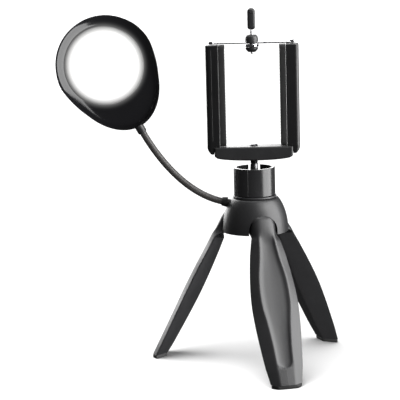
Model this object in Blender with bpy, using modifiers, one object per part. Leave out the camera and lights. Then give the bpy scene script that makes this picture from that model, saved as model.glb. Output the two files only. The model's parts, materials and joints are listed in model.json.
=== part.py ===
"""Mini tripod phone stand with a round fill light on a bendable neck.

The hub is a bell on three folding legs. A drum on top of it pans, holds a ball
with a stem, and the stem carries a sprung two-jaw phone clamp whose width is
locked by a thumb screw on two cross wires. A bendable neck leaves the hub's
left side and carries an egg-shaped lamp head with a round lit disc.

Hub frame: +Z up along the pan axis, floor at zero, front towards -Y. All hub
frame lengths below are in millimetres and are turned into metres by mm().
"""
import math

import bmesh
import bpy
from mathutils import Matrix, Vector, geometry

# The pan axis seen from the model's origin, which is the middle of its footprint.
AXIS_X = 44.5914
AXIS_Y = 9.5751

GAP = 0.3
ROUND = 32

# Hub
HUB_TOP_Z = 136.8
HUB_RIM_Z = 109.5
HUB_TOP_R = 18.5
HUB_RIM_R = 26.9
HUB_WALL = 1.6
BELL_POWER = 0.74
CORE_R = 5.2
CORE_LOW_Z = 114.0
NUT_Z = 110.0
CAP_Z = 107.6
DISC_R = 21.6
DISC_Z = 124.5
DISC_T = 2.6
BOLT_R = 2.5
BOLT_HOLE_R = 2.8

# Legs
LEG_NAMES = ("front", "right", "left")
FRONT_AZIMUTH = 15.0
SPLAY = math.radians(27.5)
HINGE_R = 16.5
HINGE_Z = 113.0
KNUCKLE_R = 10.8
ARCH_R = 11.8
PIN_R = 1.45
EAR_T = 2.0
EAR_X = 11.2
LEG_PLANE = 9.1
RIM_H = 4.8
RIDGE_SHARE = 0.4
COVER_START = 14.0
FOOT_T = 3.0
# distance from the hinge, half width, half width of the dished panel
LEG_STATIONS = ((10.0, 11.2, 5.5), (25.0, 15.0, 7.2), (45.0, 18.0, 10.6), (64.0, 19.4, 11.2),
                (82.0, 18.8, 8.8), (100.0, 17.2, 7.0), (116.0, 15.4, 6.2), (130.0, 13.0, 5.4))

# Pan head
RING_R = 17.6
DRUM_R = 16.75
DRUM_BORE_R = 14.3
DRUM_Z = 139.0
DRUM_TOP_Z = 161.6
BALL_Z = 150.4
BALL_R = 7.4
STEM_R = 3.175
STEM_TOP_Z = 180.3
NOTCH_R = 4.7

# Clamp
BAR_HALF_X = 31.6
BAR_HALF_Y = 8.0
BAR_TOP_Z = 178.9
BAR_END_Z = 170.6
BAR_BOTTOM_Z = 167.6
CHANNEL_Z = 172.2
CHANNEL_TOP_Z = 177.2
CHANNEL_HALF_Y = 6.1
JAW_OUTER_X = 37.4
JAW_CORE_X = 27.2
JAW_INNER_X = 21.9
JAW_TOP_Z = 260.9
JAW_HALF_Y = 6.8
RAIL_Y = 4.8
WIRE_R = 0.65
WIRE_Y = 3.0
WIRE_Z = 262.0
SPRING_TURNS = 7

# Bendable neck: a cubic curve in the plane Y = 0, given by its ends and handles
NECK_R = 2.85
NECK_ENDS = (Vector((-15.0, 0.0, 132.4)), Vector((-90.6, 0.0, 194.3)))
NECK_HANDLES = (Vector((-51.0, 0.0, 133.2)), Vector((-77.7, 0.0, 169.5)))
# how far along the neck each bend axis lies
NECK_BENDS = (17.0, 43.0, 70.0, 96.0)
BEND_CLEAR = 3.0

# Lamp head: an egg outline, its round end of radius EGG_R, its tip at EGG_TIP
LAMP_X = -117.3
LAMP_Z = 246.2
LAMP_LEAN = math.radians(-28.2)
EGG_R = 40.7
EGG_TIP = 56.2
EGG_SLIM = 0.065
SHELL_T = 1.8
LENS_R = 31.0
LENS_Y = 0.6
EGG_POINTS = 36

TAU = 2.0 * math.pi


def mm(value):
    """A length or a point in millimetres, in metres."""
    return Vector(value) * 0.001 if hasattr(value, "__len__") else value * 0.001


# ---------------------------------------------------------------- scene tools

def clear_scene():
    for old in list(bpy.data.objects):
        bpy.data.objects.remove(old, do_unlink=True)
    for old in list(bpy.data.collections):
        bpy.data.collections.remove(old)


def new_collection(name):
    group = bpy.data.collections.new(name)
    bpy.context.scene.collection.children.link(group)
    return group


def finish(name, colour, roughness, metallic=0.0):
    """A Principled material."""
    made = bpy.data.materials.new(name)
    made.use_nodes = True
    shader = made.node_tree.nodes["Principled BSDF"]
    shader.inputs["Base Color"].default_value = (*colour, 1.0)
    shader.inputs["Roughness"].default_value = roughness
    shader.inputs["Metallic"].default_value = metallic
    return made


def empty(name, parent, place, rotation=(0.0, 0.0, 0.0)):
    """An axis marker; the pieces of one moving body hang on it."""
    marker = bpy.data.objects.new(name, None)
    PARTS.objects.link(marker)
    marker.parent = parent
    marker.location = mm(place)
    marker.rotation_euler = rotation
    return marker


def add(name, mesh, parent, look, place=(0.0, 0.0, 0.0), rotation=(0.0, 0.0, 0.0)):
    """A part made from a mesh."""
    made = bpy.data.objects.new(name, mesh)
    PARTS.objects.link(made)
    made.parent = parent
    made.location = mm(place)
    made.rotation_euler = rotation
    mesh.materials.append(look)
    return made


def to_mesh(name, build):
    """A mesh filled by a function that works on a bmesh."""
    mesh = bpy.data.meshes.new(name)
    work = bmesh.new()
    build(work)
    bmesh.ops.recalc_face_normals(work, faces=work.faces)
    work.to_mesh(mesh)
    work.free()
    return mesh


def soften(part, angle=35.0):
    part.data.shade_smooth()
    part.data.set_sharp_from_angle(angle=math.radians(angle))


def bevel(part, width, segments=2, limit=40.0):
    change = part.modifiers.new("Bevel", "BEVEL")
    change.width = mm(width)
    change.segments = segments
    change.angle_limit = math.radians(limit)
    return part


# ------------------------------------------------------------- shape makers

def box_mesh(name, low, high):
    """A box between two corners."""
    low, high = Vector(low), Vector(high)

    def build(work):
        bmesh.ops.create_cube(work, size=1.0)
        bmesh.ops.scale(work, vec=mm(high - low), verts=work.verts)
        bmesh.ops.translate(work, vec=mm((low + high) / 2.0), verts=work.verts)

    return to_mesh(name, build)


def rod_mesh(name, start, end, radius, segments=20):
    """A round rod between two points."""
    start, end = Vector(start), Vector(end)
    turn = (end - start).to_track_quat("Z", "Y").to_matrix().to_4x4()

    def build(work):
        place = Matrix.Translation(mm((start + end) / 2.0)) @ turn
        bmesh.ops.create_cone(work, cap_ends=True, segments=segments, radius1=mm(radius),
                              radius2=mm(radius), depth=mm((end - start).length), matrix=place)

    return to_mesh(name, build)


def turned(name, profile, parent, look, place=(0.0, 0.0, 0.0), loop=False, steps=ROUND):
    """A turned part. Its profile runs down the outer side, as (radius, height) pairs."""
    mesh = bpy.data.meshes.new(name)
    points = [mm((radius, 0.0, height)) for radius, height in profile]
    edges = [(i, i + 1) for i in range(len(points) - 1)]
    if loop:
        edges.append((len(points) - 1, 0))
    mesh.from_pydata(points, edges, [])
    made = add(name, mesh, parent, look, place)
    screw = made.modifiers.new("Screw", "SCREW")
    screw.steps = steps
    screw.render_steps = steps
    screw.use_merge_vertices = True
    screw.merge_threshold = 0.00001
    screw.use_smooth_shade = True
    return made


def slab(name, outline, half_depth, parent, look, place=(0.0, 0.0, 0.0), upright=True):
    """A flat outline given a depth. Upright: drawn in X and Z, deep along Y."""
    sheet = bpy.data.curves.new(name, "CURVE")
    sheet.dimensions = "2D"
    sheet.fill_mode = "BOTH"
    sheet.extrude = mm(half_depth)
    line = sheet.splines.new("POLY")
    line.points.add(len(outline) - 1)
    for point, (x, y) in zip(line.points, outline):
        point.co = (mm(x), mm(y), 0.0, 1.0)
    line.use_cyclic_u = True
    drawn = bpy.data.objects.new(name + "_outline", sheet)
    PARTS.objects.link(drawn)
    bpy.context.view_layer.update()
    seen = drawn.evaluated_get(bpy.context.evaluated_depsgraph_get())
    mesh = bpy.data.meshes.new_from_object(seen)
    mesh.name = name
    work = bmesh.new()
    work.from_mesh(mesh)
    bmesh.ops.remove_doubles(work, verts=work.verts, dist=0.000001)
    bmesh.ops.dissolve_limit(work, angle_limit=math.radians(1.0), verts=work.verts, edges=work.edges)
    if upright:
        bmesh.ops.rotate(work, verts=work.verts, matrix=Matrix.Rotation(math.pi / 2.0, 3, "X"))
    bmesh.ops.recalc_face_normals(work, faces=work.faces)
    work.to_mesh(mesh)
    work.free()
    bpy.data.objects.remove(drawn)
    mesh.materials.clear()
    return add(name, mesh, parent, look, place)


def loft_mesh(name, rings, loop=False):
    """A skin through rings of equal count, capped at both ends or closed on itself."""

    def build(work):
        rows = [[work.verts.new(mm(point)) for point in ring] for ring in rings]
        pairs = list(zip(rows, rows[1:]))
        if loop:
            pairs.append((rows[-1], rows[0]))
        for first, second in pairs:
            count = len(first)
            for i in range(count):
                j = (i + 1) % count
                work.faces.new((first[i], first[j], second[j], second[i]))
        if not loop:
            work.faces.new(rows[0][::-1])
            work.faces.new(rows[-1])

    return to_mesh(name, build)


def cut(part, tool_mesh, operation="DIFFERENCE"):
    """Cut a part with a mesh drawn in the part's own frame, or join that mesh to it."""
    tool = bpy.data.objects.new(tool_mesh.name, tool_mesh)
    CUTTERS.objects.link(tool)
    tool.parent = part
    tool.hide_render = True
    tool.display_type = "WIRE"
    change = part.modifiers.new(tool_mesh.name, "BOOLEAN")
    change.operation = operation
    change.object = tool
    return part


def about_z(mesh, degrees):
    """Turn a mesh about the pan axis."""
    mesh.transform(Matrix.Rotation(math.radians(degrees), 4, "Z"))
    return mesh


# ---------------------------------------------------------------------- hub

def bell_radius(height):
    """Outer radius of the bell at a height: a shoulder that rounds into a straight rim."""
    share = (HUB_TOP_Z - height) / (HUB_TOP_Z - HUB_RIM_Z)
    return HUB_TOP_R + (HUB_RIM_R - HUB_TOP_R) * math.sin(math.pi / 2.0 * share ** BELL_POWER)


def leg_azimuths():
    return [FRONT_AZIMUTH + 120.0 * i for i in range(3)]


def make_hub(root):
    heights = [HUB_TOP_Z - (HUB_TOP_Z - HUB_RIM_Z) * (i / 7.0) ** 1.3 for i in range(8)]
    outer = [(bell_radius(z), z) for z in heights]
    inner = [(bell_radius(z) - HUB_WALL, z) for z in reversed(heights[2:])]
    ceiling = HUB_TOP_Z - HUB_WALL
    inner.append((HUB_TOP_R - 0.5, ceiling))
    profile = [(BOLT_HOLE_R, HUB_TOP_Z)] + outer + inner + [(BOLT_HOLE_R, ceiling)]
    shell = turned("hub_shell", profile, root, SATIN, loop=True, steps=44)
    for azimuth in leg_azimuths():
        arch = rod_mesh("leg_arch", (0, -6, HINGE_Z), (0, -36, HINGE_Z), ARCH_R, 28)
        cut(shell, about_z(arch, azimuth))
        door = box_mesh("leg_door", (-ARCH_R, -36, HUB_RIM_Z - 6), (ARCH_R, -6, HINGE_Z))
        cut(shell, about_z(door, azimuth))
    cut(shell, rod_mesh("neck_bore", (-12, 0, 132.3), (-26, 0, 132.9), NECK_R + GAP, 20))

    make_carrier(root)

    turned("pan_washer", [(BOLT_HOLE_R, DRUM_Z - GAP), (RING_R - 0.4, DRUM_Z - GAP),
                          (RING_R, DRUM_Z - 0.8), (RING_R, HUB_TOP_Z + GAP),
                          (BOLT_HOLE_R, HUB_TOP_Z + GAP)], root, NYLON, loop=True, steps=48)
    head_z = DRUM_Z + 1.6 + GAP
    turned("pan_bolt", [(0, head_z + 1.7), (4.2, head_z + 1.7), (4.6, head_z + 1.3),
                        (4.6, head_z), (BOLT_R, head_z), (BOLT_R, NUT_Z + 1.7), (0, NUT_Z + 1.7)],
           root, STEEL, steps=28)
    make_nut(root)
    cap_top = NUT_Z - GAP
    turned("hub_cap", [(0, cap_top), (CORE_R, cap_top), (CORE_R, CAP_Z + 0.9), (CORE_R - 0.9, CAP_Z),
                       (0, CAP_Z)], root, MATTE, steps=24)
    make_grommet(root)


def make_carrier(root):
    """Hub core: a disc with a bored post and a pair of ears for each hinge pin."""
    post_low, post_high = CORE_LOW_Z, HUB_TOP_Z - HUB_WALL - GAP
    carrier = turned("hub_carrier", [(BOLT_HOLE_R, post_high), (CORE_R, post_high),
                                     (CORE_R, DISC_Z + DISC_T), (DISC_R, DISC_Z + DISC_T),
                                     (DISC_R, DISC_Z), (CORE_R, DISC_Z), (CORE_R, post_low),
                                     (BOLT_HOLE_R, post_low)], root, MATTE, loop=True)
    for azimuth in leg_azimuths():
        for side in (-1, 1):
            near, far = sorted((side * EAR_X, side * (EAR_X + EAR_T)))
            ear = box_mesh("ear", (near, -18.8, HINGE_Z - 3.2), (far, -13.2, DISC_Z + 0.8))
            cut(carrier, about_z(ear, azimuth), "UNION")
    for azimuth in leg_azimuths():
        hole = rod_mesh("pin_hole", (-16, -HINGE_R, HINGE_Z), (16, -HINGE_R, HINGE_Z), PIN_R + GAP)
        cut(carrier, about_z(hole, azimuth))
        pin = rod_mesh("pin", (-EAR_X - EAR_T, -HINGE_R, HINGE_Z),
                       (EAR_X + EAR_T, -HINGE_R, HINGE_Z), PIN_R, 20)
        name = LEG_NAMES[leg_azimuths().index(azimuth)]
        add("hinge_pin_" + name, about_z(pin, azimuth), root, STEEL)


def make_nut(root):
    """Hexagon lock nut under the core."""
    low, high = NUT_Z, CORE_LOW_Z - GAP
    nut = add("pan_nut", rod_mesh("pan_nut", (0, 0, low), (0, 0, high), CORE_R - 0.1, 6), root, STEEL)
    cut(nut, rod_mesh("nut_bore", (0, 0, low + 1.2), (0, 0, high + 1.0), BOLT_HOLE_R, 24))


def make_grommet(root):
    """Rubber grommet where the neck leaves the bell."""
    outer, inner = NECK_R + 0.9, NECK_R + GAP
    collar = turned("neck_grommet", [(inner, 2.4), (outer - 0.4, 2.4), (outer, 1.8), (outer, 0.0),
                                     (inner, 0.0)], root, RUBBER, loop=True, steps=24)
    start = neck_point(9.6)
    collar.location = mm(start)
    collar.rotation_euler = (neck_point(10.6) - start).to_track_quat("Z", "Y").to_euler()


# --------------------------------------------------------------------- legs

def station(distance, column):
    """A leg measure between its stations, eased so that the sides stay smooth."""
    rows = LEG_STATIONS
    if distance <= rows[0][0]:
        return rows[0][column]
    for low, high in zip(rows, rows[1:]):
        if distance <= high[0]:
            share = (distance - low[0]) / (high[0] - low[0])
            ease = share * share * (3.0 - 2.0 * share)
            blend = 0.5 * share + 0.5 * ease
            return low[column] + (high[column] - low[column]) * blend
    return rows[-1][column]


def shell_section(distance):
    """Leg shell outline: bevelled shoulders, a dished panel and a flat inner side."""
    half, panel = station(distance, 1), station(distance, 2)
    base, rim = LEG_PLANE + GAP / 2.0, LEG_PLANE + RIM_H
    side = [(-half, base), (-panel - 0.6, rim), (-panel + 0.8, rim - 0.7), (0.0, rim - 1.5)]
    return side + [(-x, y) for x, y in reversed(side[:3])] + [(half / 2, base), (0, base), (-half / 2, base)]


def knuckle_section(distance):
    """Round head of the leg, fuller on its outer side."""
    share = math.sqrt(max(0.0, 1.0 - (distance / (KNUCKLE_R + 0.02)) ** 2))
    outward = (LEG_PLANE + RIM_H) * share
    inward = KNUCKLE_R * share
    wide = KNUCKLE_R * (share if distance < 0.0 else 1.0)
    angles = (180, 140, 115, 90, 65, 40, 0, -45, -90, -135)
    return [(wide * math.cos(math.radians(a)),
             (outward if a > 0 else inward) * math.sin(math.radians(a))) for a in angles]


def leg_ring(section, distance):
    return [(x, -y, -distance) for x, y in section]


def foot_distance(outward, height):
    """How far down the leg a height above the floor lies, at an outward offset."""
    return (HINGE_Z - height + outward * math.sin(SPLAY)) / math.cos(SPLAY)


def floor_ring(section, height):
    """A leg section slid along the leg until every point stands at one height."""
    return [(x, -y, -foot_distance(y, height)) for x, y in section]


def leg_shell_rings():
    rings = [leg_ring(knuckle_section(s), s) for s in (-10.5, -9.6, -7.8, -5.0, -2.0)]
    for distance in (1.0, 4.0, 7.0):
        ease = (distance / 12.0) ** 1.5
        round_part, flat_part = knuckle_section(distance), shell_section(12.0)
        mixed = [(a[0] + (b[0] - a[0]) * ease, a[1] + (b[1] - a[1]) * ease)
                 for a, b in zip(round_part, flat_part)]
        rings.append(leg_ring(mixed, distance))
    for distance in (12.0, 20.0, 28.0, 36.0, 45.0, 55.0, 64.0, 73.0, 82.0, 91.0, 100.0, 109.0, 116.0):
        rings.append(leg_ring(shell_section(distance), distance))
    rings.append(floor_ring(shell_section(129.0), FOOT_T))
    return rings


def cover_section(distance):
    """Inner leg cover: flat against the shell, a blunt ridge on its inner side."""
    half = station(distance, 1)
    base, ridge = LEG_PLANE - GAP / 2.0, LEG_PLANE - RIDGE_SHARE * half
    return [(-half, base), (0, base), (half, base), (half / 2, (base + ridge) / 2), (0, ridge),
            (-half / 2, (base + ridge) / 2)]


def leg_cover_rings():
    rings = [leg_ring(cover_section(s), s)
             for s in (COVER_START, 22, 34, 45, 55, 64, 73, 82, 91, 100, 109, 114)]
    rings.append(floor_ring(cover_section(129.0), FOOT_T))
    return rings


def foot_rings():
    """Rubber foot under the leg end, flat on the floor when the leg is open."""
    half = station(129.0, 1) - 0.7
    rim, ridge = LEG_PLANE + RIM_H - 0.7, LEG_PLANE - RIDGE_SHARE * half + 0.6
    panel = half - 4.6
    section = [(-half, LEG_PLANE), (-panel, rim), (panel, rim), (half, LEG_PLANE),
               (half * 0.5, (LEG_PLANE + ridge) / 2), (0, ridge), (-half * 0.5, (LEG_PLANE + ridge) / 2)]
    rings = []
    for height, inset in ((FOOT_T - GAP, 1.0), (0.8, 1.0), (0.0, 0.93)):
        lower = [(x * inset, LEG_PLANE + (y - LEG_PLANE) * inset) for x, y in section]
        drop = height - FOOT_T
        rings.append([(x, -(y + drop * math.sin(SPLAY)),
                       -foot_distance(y, FOOT_T) + drop * math.cos(SPLAY)) for x, y in lower])
    return rings


def make_leg(root, name, azimuth):
    turn = math.radians(azimuth)
    hinge = empty("leg_%s_hinge" % name, root,
                  (HINGE_R * math.sin(turn), -HINGE_R * math.cos(turn), HINGE_Z), (-SPLAY, 0.0, turn))
    shell = add("leg_%s_shell" % name, loft_mesh("leg_shell", leg_shell_rings()), hinge, SATIN)
    cut(shell, rod_mesh("leg_bore", (-14, 0, 0), (14, 0, 0), PIN_R + GAP))
    soften(shell)
    soften(add("leg_%s_cover" % name, loft_mesh("leg_cover", leg_cover_rings()), hinge, MATTE))
    soften(add("foot_%s" % name, loft_mesh("foot", foot_rings()), hinge, RUBBER))


# ----------------------------------------------------------- pan head and ball

def seat_height(radius, side):
    """Height of the ball's clearance sphere at a radius, above (1) or below (-1) its middle."""
    return BALL_Z + side * math.sqrt((BALL_R + GAP) ** 2 - radius ** 2)


def make_head(root):
    head = empty("pan_axis", root, (0, 0, 0))
    floor_z = DRUM_Z + 1.6
    drum = turned("pan_drum", [(BOLT_HOLE_R, floor_z), (DRUM_BORE_R, floor_z), (DRUM_BORE_R, DRUM_TOP_Z - 0.5),
                               (DRUM_BORE_R + 0.5, DRUM_TOP_Z), (DRUM_R - 0.5, DRUM_TOP_Z),
                               (DRUM_R, DRUM_TOP_Z - 0.5), (DRUM_R, DRUM_Z), (BOLT_HOLE_R, DRUM_Z)],
                  head, SATIN, loop=True, steps=40)
    cut(drum, rod_mesh("notch_end", (0, 5, BALL_Z), (0, 22, BALL_Z), NOTCH_R, 28))
    cut(drum, box_mesh("notch", (-NOTCH_R, 5, BALL_Z), (NOTCH_R, 22, DRUM_TOP_Z + 4)))

    low, high, wide = floor_z + GAP, 146.4, DRUM_BORE_R - GAP
    seat = [(r, seat_height(r, -1)) for r in (5.2, 5.9, math.sqrt((BALL_R + GAP) ** 2 - 16.0))]
    turned("ball_seat", [(wide, high), (wide, low), (5.2, low)] + seat, head, NYLON, loop=True)
    collar_low, collar_high = 153.2, 157.4
    bite = [(r, seat_height(r, 1)) for r in (5.3, 6.0, 6.6)]
    edge = math.sqrt((BALL_R + GAP) ** 2 - (collar_low - BALL_Z) ** 2)
    collar = turned("ball_collar", [(wide - 1.5, collar_high), (wide, collar_high - 1.5), (wide, collar_low),
                                    (edge, collar_low)] + bite[::-1] + [(6.4, collar_high)],
                    head, MATTE, loop=True)
    cut(collar, box_mesh("collar_slot", (-4.1, 0, collar_low - 3), (4.1, 20, collar_high + 3)))
    return head


def make_ball(head):
    ball = empty("ball_centre", head, (0, 0, BALL_Z))
    top = STEM_TOP_Z - BALL_Z
    neck = math.asin(STEM_R / BALL_R)
    arc = [neck + (math.pi - neck) * i / 9.0 for i in range(10)]
    profile = [(0, top), (STEM_R - 0.5, top), (STEM_R, top - 0.5)]
    profile += [(BALL_R * math.sin(a), BALL_R * math.cos(a)) for a in arc[:-1]] + [(0, -BALL_R)]
    turned("ball_stud", profile, ball, STEEL, steps=28)
    return ball


# -------------------------------------------------------------------- clamp

def make_clamp(ball):
    """Everything here is drawn in the hub frame and hung on the stem's axis."""
    clamp = empty("stem_axis", ball, (0, 0, -BALL_Z))
    keel = [(BAR_HALF_X * math.cos(a), BAR_END_Z + (BAR_BOTTOM_Z - BAR_END_Z) * math.sin(a) ** 0.8)
            for a in [math.pi * i / 12.0 for i in range(13)]]
    outline = [(-BAR_HALF_X, BAR_TOP_Z), (BAR_HALF_X, BAR_TOP_Z)] + keel
    bar = slab("clamp_bar", outline, BAR_HALF_Y, clamp, SATIN)
    bevel(bar, 1.4, 3, 60.0)
    cut(bar, box_mesh("rail_channel", (-40, -CHANNEL_HALF_Y, CHANNEL_Z), (40, CHANNEL_HALF_Y, CHANNEL_TOP_Z)))
    cut(bar, rod_mesh("stem_hole", (0, 0, 160), (0, 0, 190), STEM_R + GAP, 28))
    cut(bar, rod_mesh("insert_hole", (0, 0, 160), (0, 0, 171.6), 5.2, 28))
    turned("stem_insert", [(STEM_R + GAP, 171.3), (4.9, 171.3), (4.9, 168.0), (STEM_R + GAP, 168.0)],
           clamp, BRASS, loop=True, steps=28)
    for name, side in (("left", -1), ("right", 1)):
        make_jaw(clamp, name, side)
    make_lock(clamp)


def mirrored(mesh, side):
    """The left-hand mesh as drawn, or turned half round the stem for the right hand."""
    if side > 0:
        mesh.transform(Matrix.Rotation(math.pi, 4, "Z"))
    return mesh


def make_jaw(clamp, name, side):
    """Drawn for the left jaw; the right one is the same pieces turned half round."""
    jaw = empty("jaw_%s_slide" % name, clamp, (0, 0, 0))
    foot_x = -BAR_HALF_X - GAP
    outline = [(-JAW_OUTER_X, 177.6), (foot_x - 1.6, 173.0), (foot_x, 173.0), (foot_x, BAR_TOP_Z + GAP),
               (-JAW_CORE_X, BAR_TOP_Z + GAP), (-JAW_CORE_X, JAW_TOP_Z), (-JAW_OUTER_X, JAW_TOP_Z)]
    arm = slab("jaw_%s_arm" % name, outline, JAW_HALF_Y, jaw, MATTE)
    mirrored(arm.data, side)
    bevel(arm, 1.3, 2, 50.0)

    pad_x, face_x, lip = -JAW_CORE_X + GAP, -JAW_INNER_X, 1.7
    low, high = BAR_TOP_Z + 0.9, JAW_TOP_Z - 0.6
    section = [(pad_x, -JAW_HALF_Y + 0.4), (face_x, -JAW_HALF_Y + 0.4), (face_x, -JAW_HALF_Y + 1.6),
               (face_x - lip, 0), (face_x, JAW_HALF_Y - 1.6), (face_x, JAW_HALF_Y - 0.4),
               (pad_x, JAW_HALF_Y - 0.4)]
    pad = slab("jaw_%s_pad" % name, section, (high - low) / 2, jaw, RUBBER,
               (0, 0, (high + low) / 2), upright=False)
    mirrored(pad.data, side)

    rail = box_mesh("rail", (-BAR_HALF_X, -RAIL_Y - 0.9, CHANNEL_Z + 0.4),
                    (19.5, -RAIL_Y + 0.9, CHANNEL_TOP_Z - 0.4))
    add("jaw_%s_rail" % name, mirrored(rail, side), jaw, STEEL)
    wire = rod_mesh("wire", (-32.6, -WIRE_Y, WIRE_Z), (31.2, -WIRE_Y, WIRE_Z), WIRE_R, 12)
    add("jaw_%s_wire" % name, mirrored(wire, side), jaw, CHROME)
    clip_mesh = box_mesh("clip", (-34.4, -WIRE_Y - 2.2, JAW_TOP_Z + GAP), (-30.4, -WIRE_Y + 2.2, WIRE_Z + 1.9))
    clip = bevel(add("wire_clip_" + name, mirrored(clip_mesh, side), jaw, STEEL), 0.5, 2)
    cut(clip, mirrored(rod_mesh("clip_bore", (-36, -WIRE_Y, WIRE_Z), (-28, -WIRE_Y, WIRE_Z),
                                WIRE_R + GAP, 12), side))
    make_spring(jaw, name, side)


def make_spring(jaw, name, side):
    """Coil spring in the bar's channel, from the stem to the jaw."""
    start, end, coil_r = -BAR_HALF_X + 0.6, -STEM_R - 0.9, 1.75
    line = bpy.data.curves.new("spring", "CURVE")
    line.dimensions = "3D"
    line.bevel_depth = mm(0.32)
    line.bevel_resolution = 1
    line.use_fill_caps = True
    count = SPRING_TURNS * 8
    spline = line.splines.new("POLY")
    spline.points.add(count)
    middle = (CHANNEL_Z + CHANNEL_TOP_Z) / 2
    for i, point in enumerate(spline.points):
        turn = TAU * i / 8.0
        x = start + (end - start) * i / count
        point.co = (*mm((-side * x, coil_r * math.cos(turn), middle + coil_r * math.sin(turn))), 1.0)
    made = bpy.data.objects.new("jaw_%s_spring" % name, line)
    PARTS.objects.link(made)
    made.parent = jaw
    line.materials.append(STEEL)


def make_lock(clamp):
    """Knuckle on the cross wires and its thumb screw."""
    knuckle = empty("knuckle_slide", clamp, (0, 0, WIRE_Z))
    bore, split = 1.5, -0.6
    cap = turned("knuckle_cap", [(bore, 6.4), (3.4, 6.4), (4.9, 4.9), (5.35, 2.5), (5.35, split),
                                 (bore, split)], knuckle, SATIN, loop=True, steps=32)
    for side in (-1, 1):
        cut(cap, rod_mesh("wire_groove", (-9, side * WIRE_Y, 0), (9, side * WIRE_Y, 0), WIRE_R + GAP, 14))
    turned("knuckle_band", [(bore, split - GAP), (5.2, split - GAP), (5.6, split - 0.7), (5.6, split - 2.4),
                            (5.2, split - 2.8), (bore, split - 2.8)], knuckle, CHROME, loop=True, steps=32)
    turned("knuckle_base", [(bore, split - 3.1), (5.2, split - 3.1), (4.9, split - 4.8), (3.0, split - 6.9),
                            (bore, split - 6.9)], knuckle, SATIN, loop=True, steps=32)
    thumb = empty("thumb_screw_axis", knuckle, (0, 0, 0))
    turned("thumb_screw", [(0, 9.9), (1.2, 9.9), (1.2, -8.2), (0.6, -9.0), (0, -9.0)], thumb, STEEL, steps=16)
    grip = box_mesh("thumb_grip", (-3.2, -2.6, 10.2), (3.2, 2.6, 27.5))
    bevel(add("thumb_grip", grip, thumb, SATIN), 1.9, 3)


# --------------------------------------------------------------------- neck

def neck_samples():
    """Evenly spaced points along the neck, half a millimetre apart."""
    first, last = NECK_ENDS
    fine = geometry.interpolate_bezier(first, NECK_HANDLES[0], NECK_HANDLES[1], last, 400)
    samples, walked = [fine[0]], 0.0
    for before, after in zip(fine, fine[1:]):
        walked += (after - before).length
        if walked >= 0.5 * len(samples):
            samples.append(after)
    return samples


def neck_point(distance):
    return NECK_SAMPLES[min(int(round(distance / 0.5)), len(NECK_SAMPLES) - 1)]


def neck_direction(distance):
    return (neck_point(distance + 1.0) - neck_point(distance - 1.0)).normalized()


def neck_ring(centre, direction, radius):
    side = Vector((0.0, 1.0, 0.0))
    up = direction.cross(side)
    return [centre + side * radius * math.cos(TAU * i / 14) + up * radius * math.sin(TAU * i / 14)
            for i in range(14)]


def neck_link(name, start, end, parent, origin, ball_end=True):
    """One stretch of the neck. Its far end is a ball on the next bend axis."""
    steps = max(3, int((end - start) / 4.0))
    rings = []
    for i in range(steps + 1):
        at = start + (end - start) * i / steps
        rings.append(neck_ring(neck_point(at), neck_direction(max(at, 1.0)), NECK_R))
    if ball_end:
        for degrees in (25, 50, 75):
            angle = math.radians(degrees)
            centre = neck_point(end) + neck_direction(end) * NECK_R * math.sin(angle)
            rings.append(neck_ring(centre, neck_direction(end), NECK_R * math.cos(angle)))
    local = [[point - origin for point in ring] for ring in rings]
    soften(add(name, loft_mesh(name, local), parent, SLEEVE))


def make_neck(root):
    """Four links; each bend axis marker carries the link or the lamp that follows it."""
    neck_link("neck_root", 0.0, NECK_BENDS[0], root, Vector())
    markers, parent, before = [], root, Vector()
    for i, distance in enumerate(NECK_BENDS):
        here = neck_point(distance)
        parent = empty("neck_bend_%d" % (i + 1), parent, here - before)
        before = here
        markers.append(parent)
    for i, name in enumerate(("neck_lower", "neck_middle", "neck_upper")):
        neck_link(name, NECK_BENDS[i] + BEND_CLEAR, NECK_BENDS[i + 1], markers[i],
                  neck_point(NECK_BENDS[i]))
    return markers[-1], before


# --------------------------------------------------------------------- lamp

def egg_ring(scale, height, inset=0.0):
    """The lamp outline at a scale, pulled in by an inset, at a height over the split."""
    ring = []
    for i in range(EGG_POINTS):
        angle = TAU * i / EGG_POINTS
        along, across = math.cos(angle), math.sin(angle)
        slim = 1.0 - EGG_SLIM * min(1.0, 2.0 * max(along, 0.0))
        length = (EGG_TIP if along > 0.0 else EGG_R) * scale - inset
        ring.append((across * slim * (EGG_R * scale - inset), -along * length, height))
    return ring


def disc_ring(radius, height):
    """A circle about the lens, with its points in step with the egg's."""
    return [(radius * math.sin(TAU * i / EGG_POINTS), LENS_Y - radius * math.cos(TAU * i / EGG_POINTS), height)
            for i in range(EGG_POINTS)]


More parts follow.
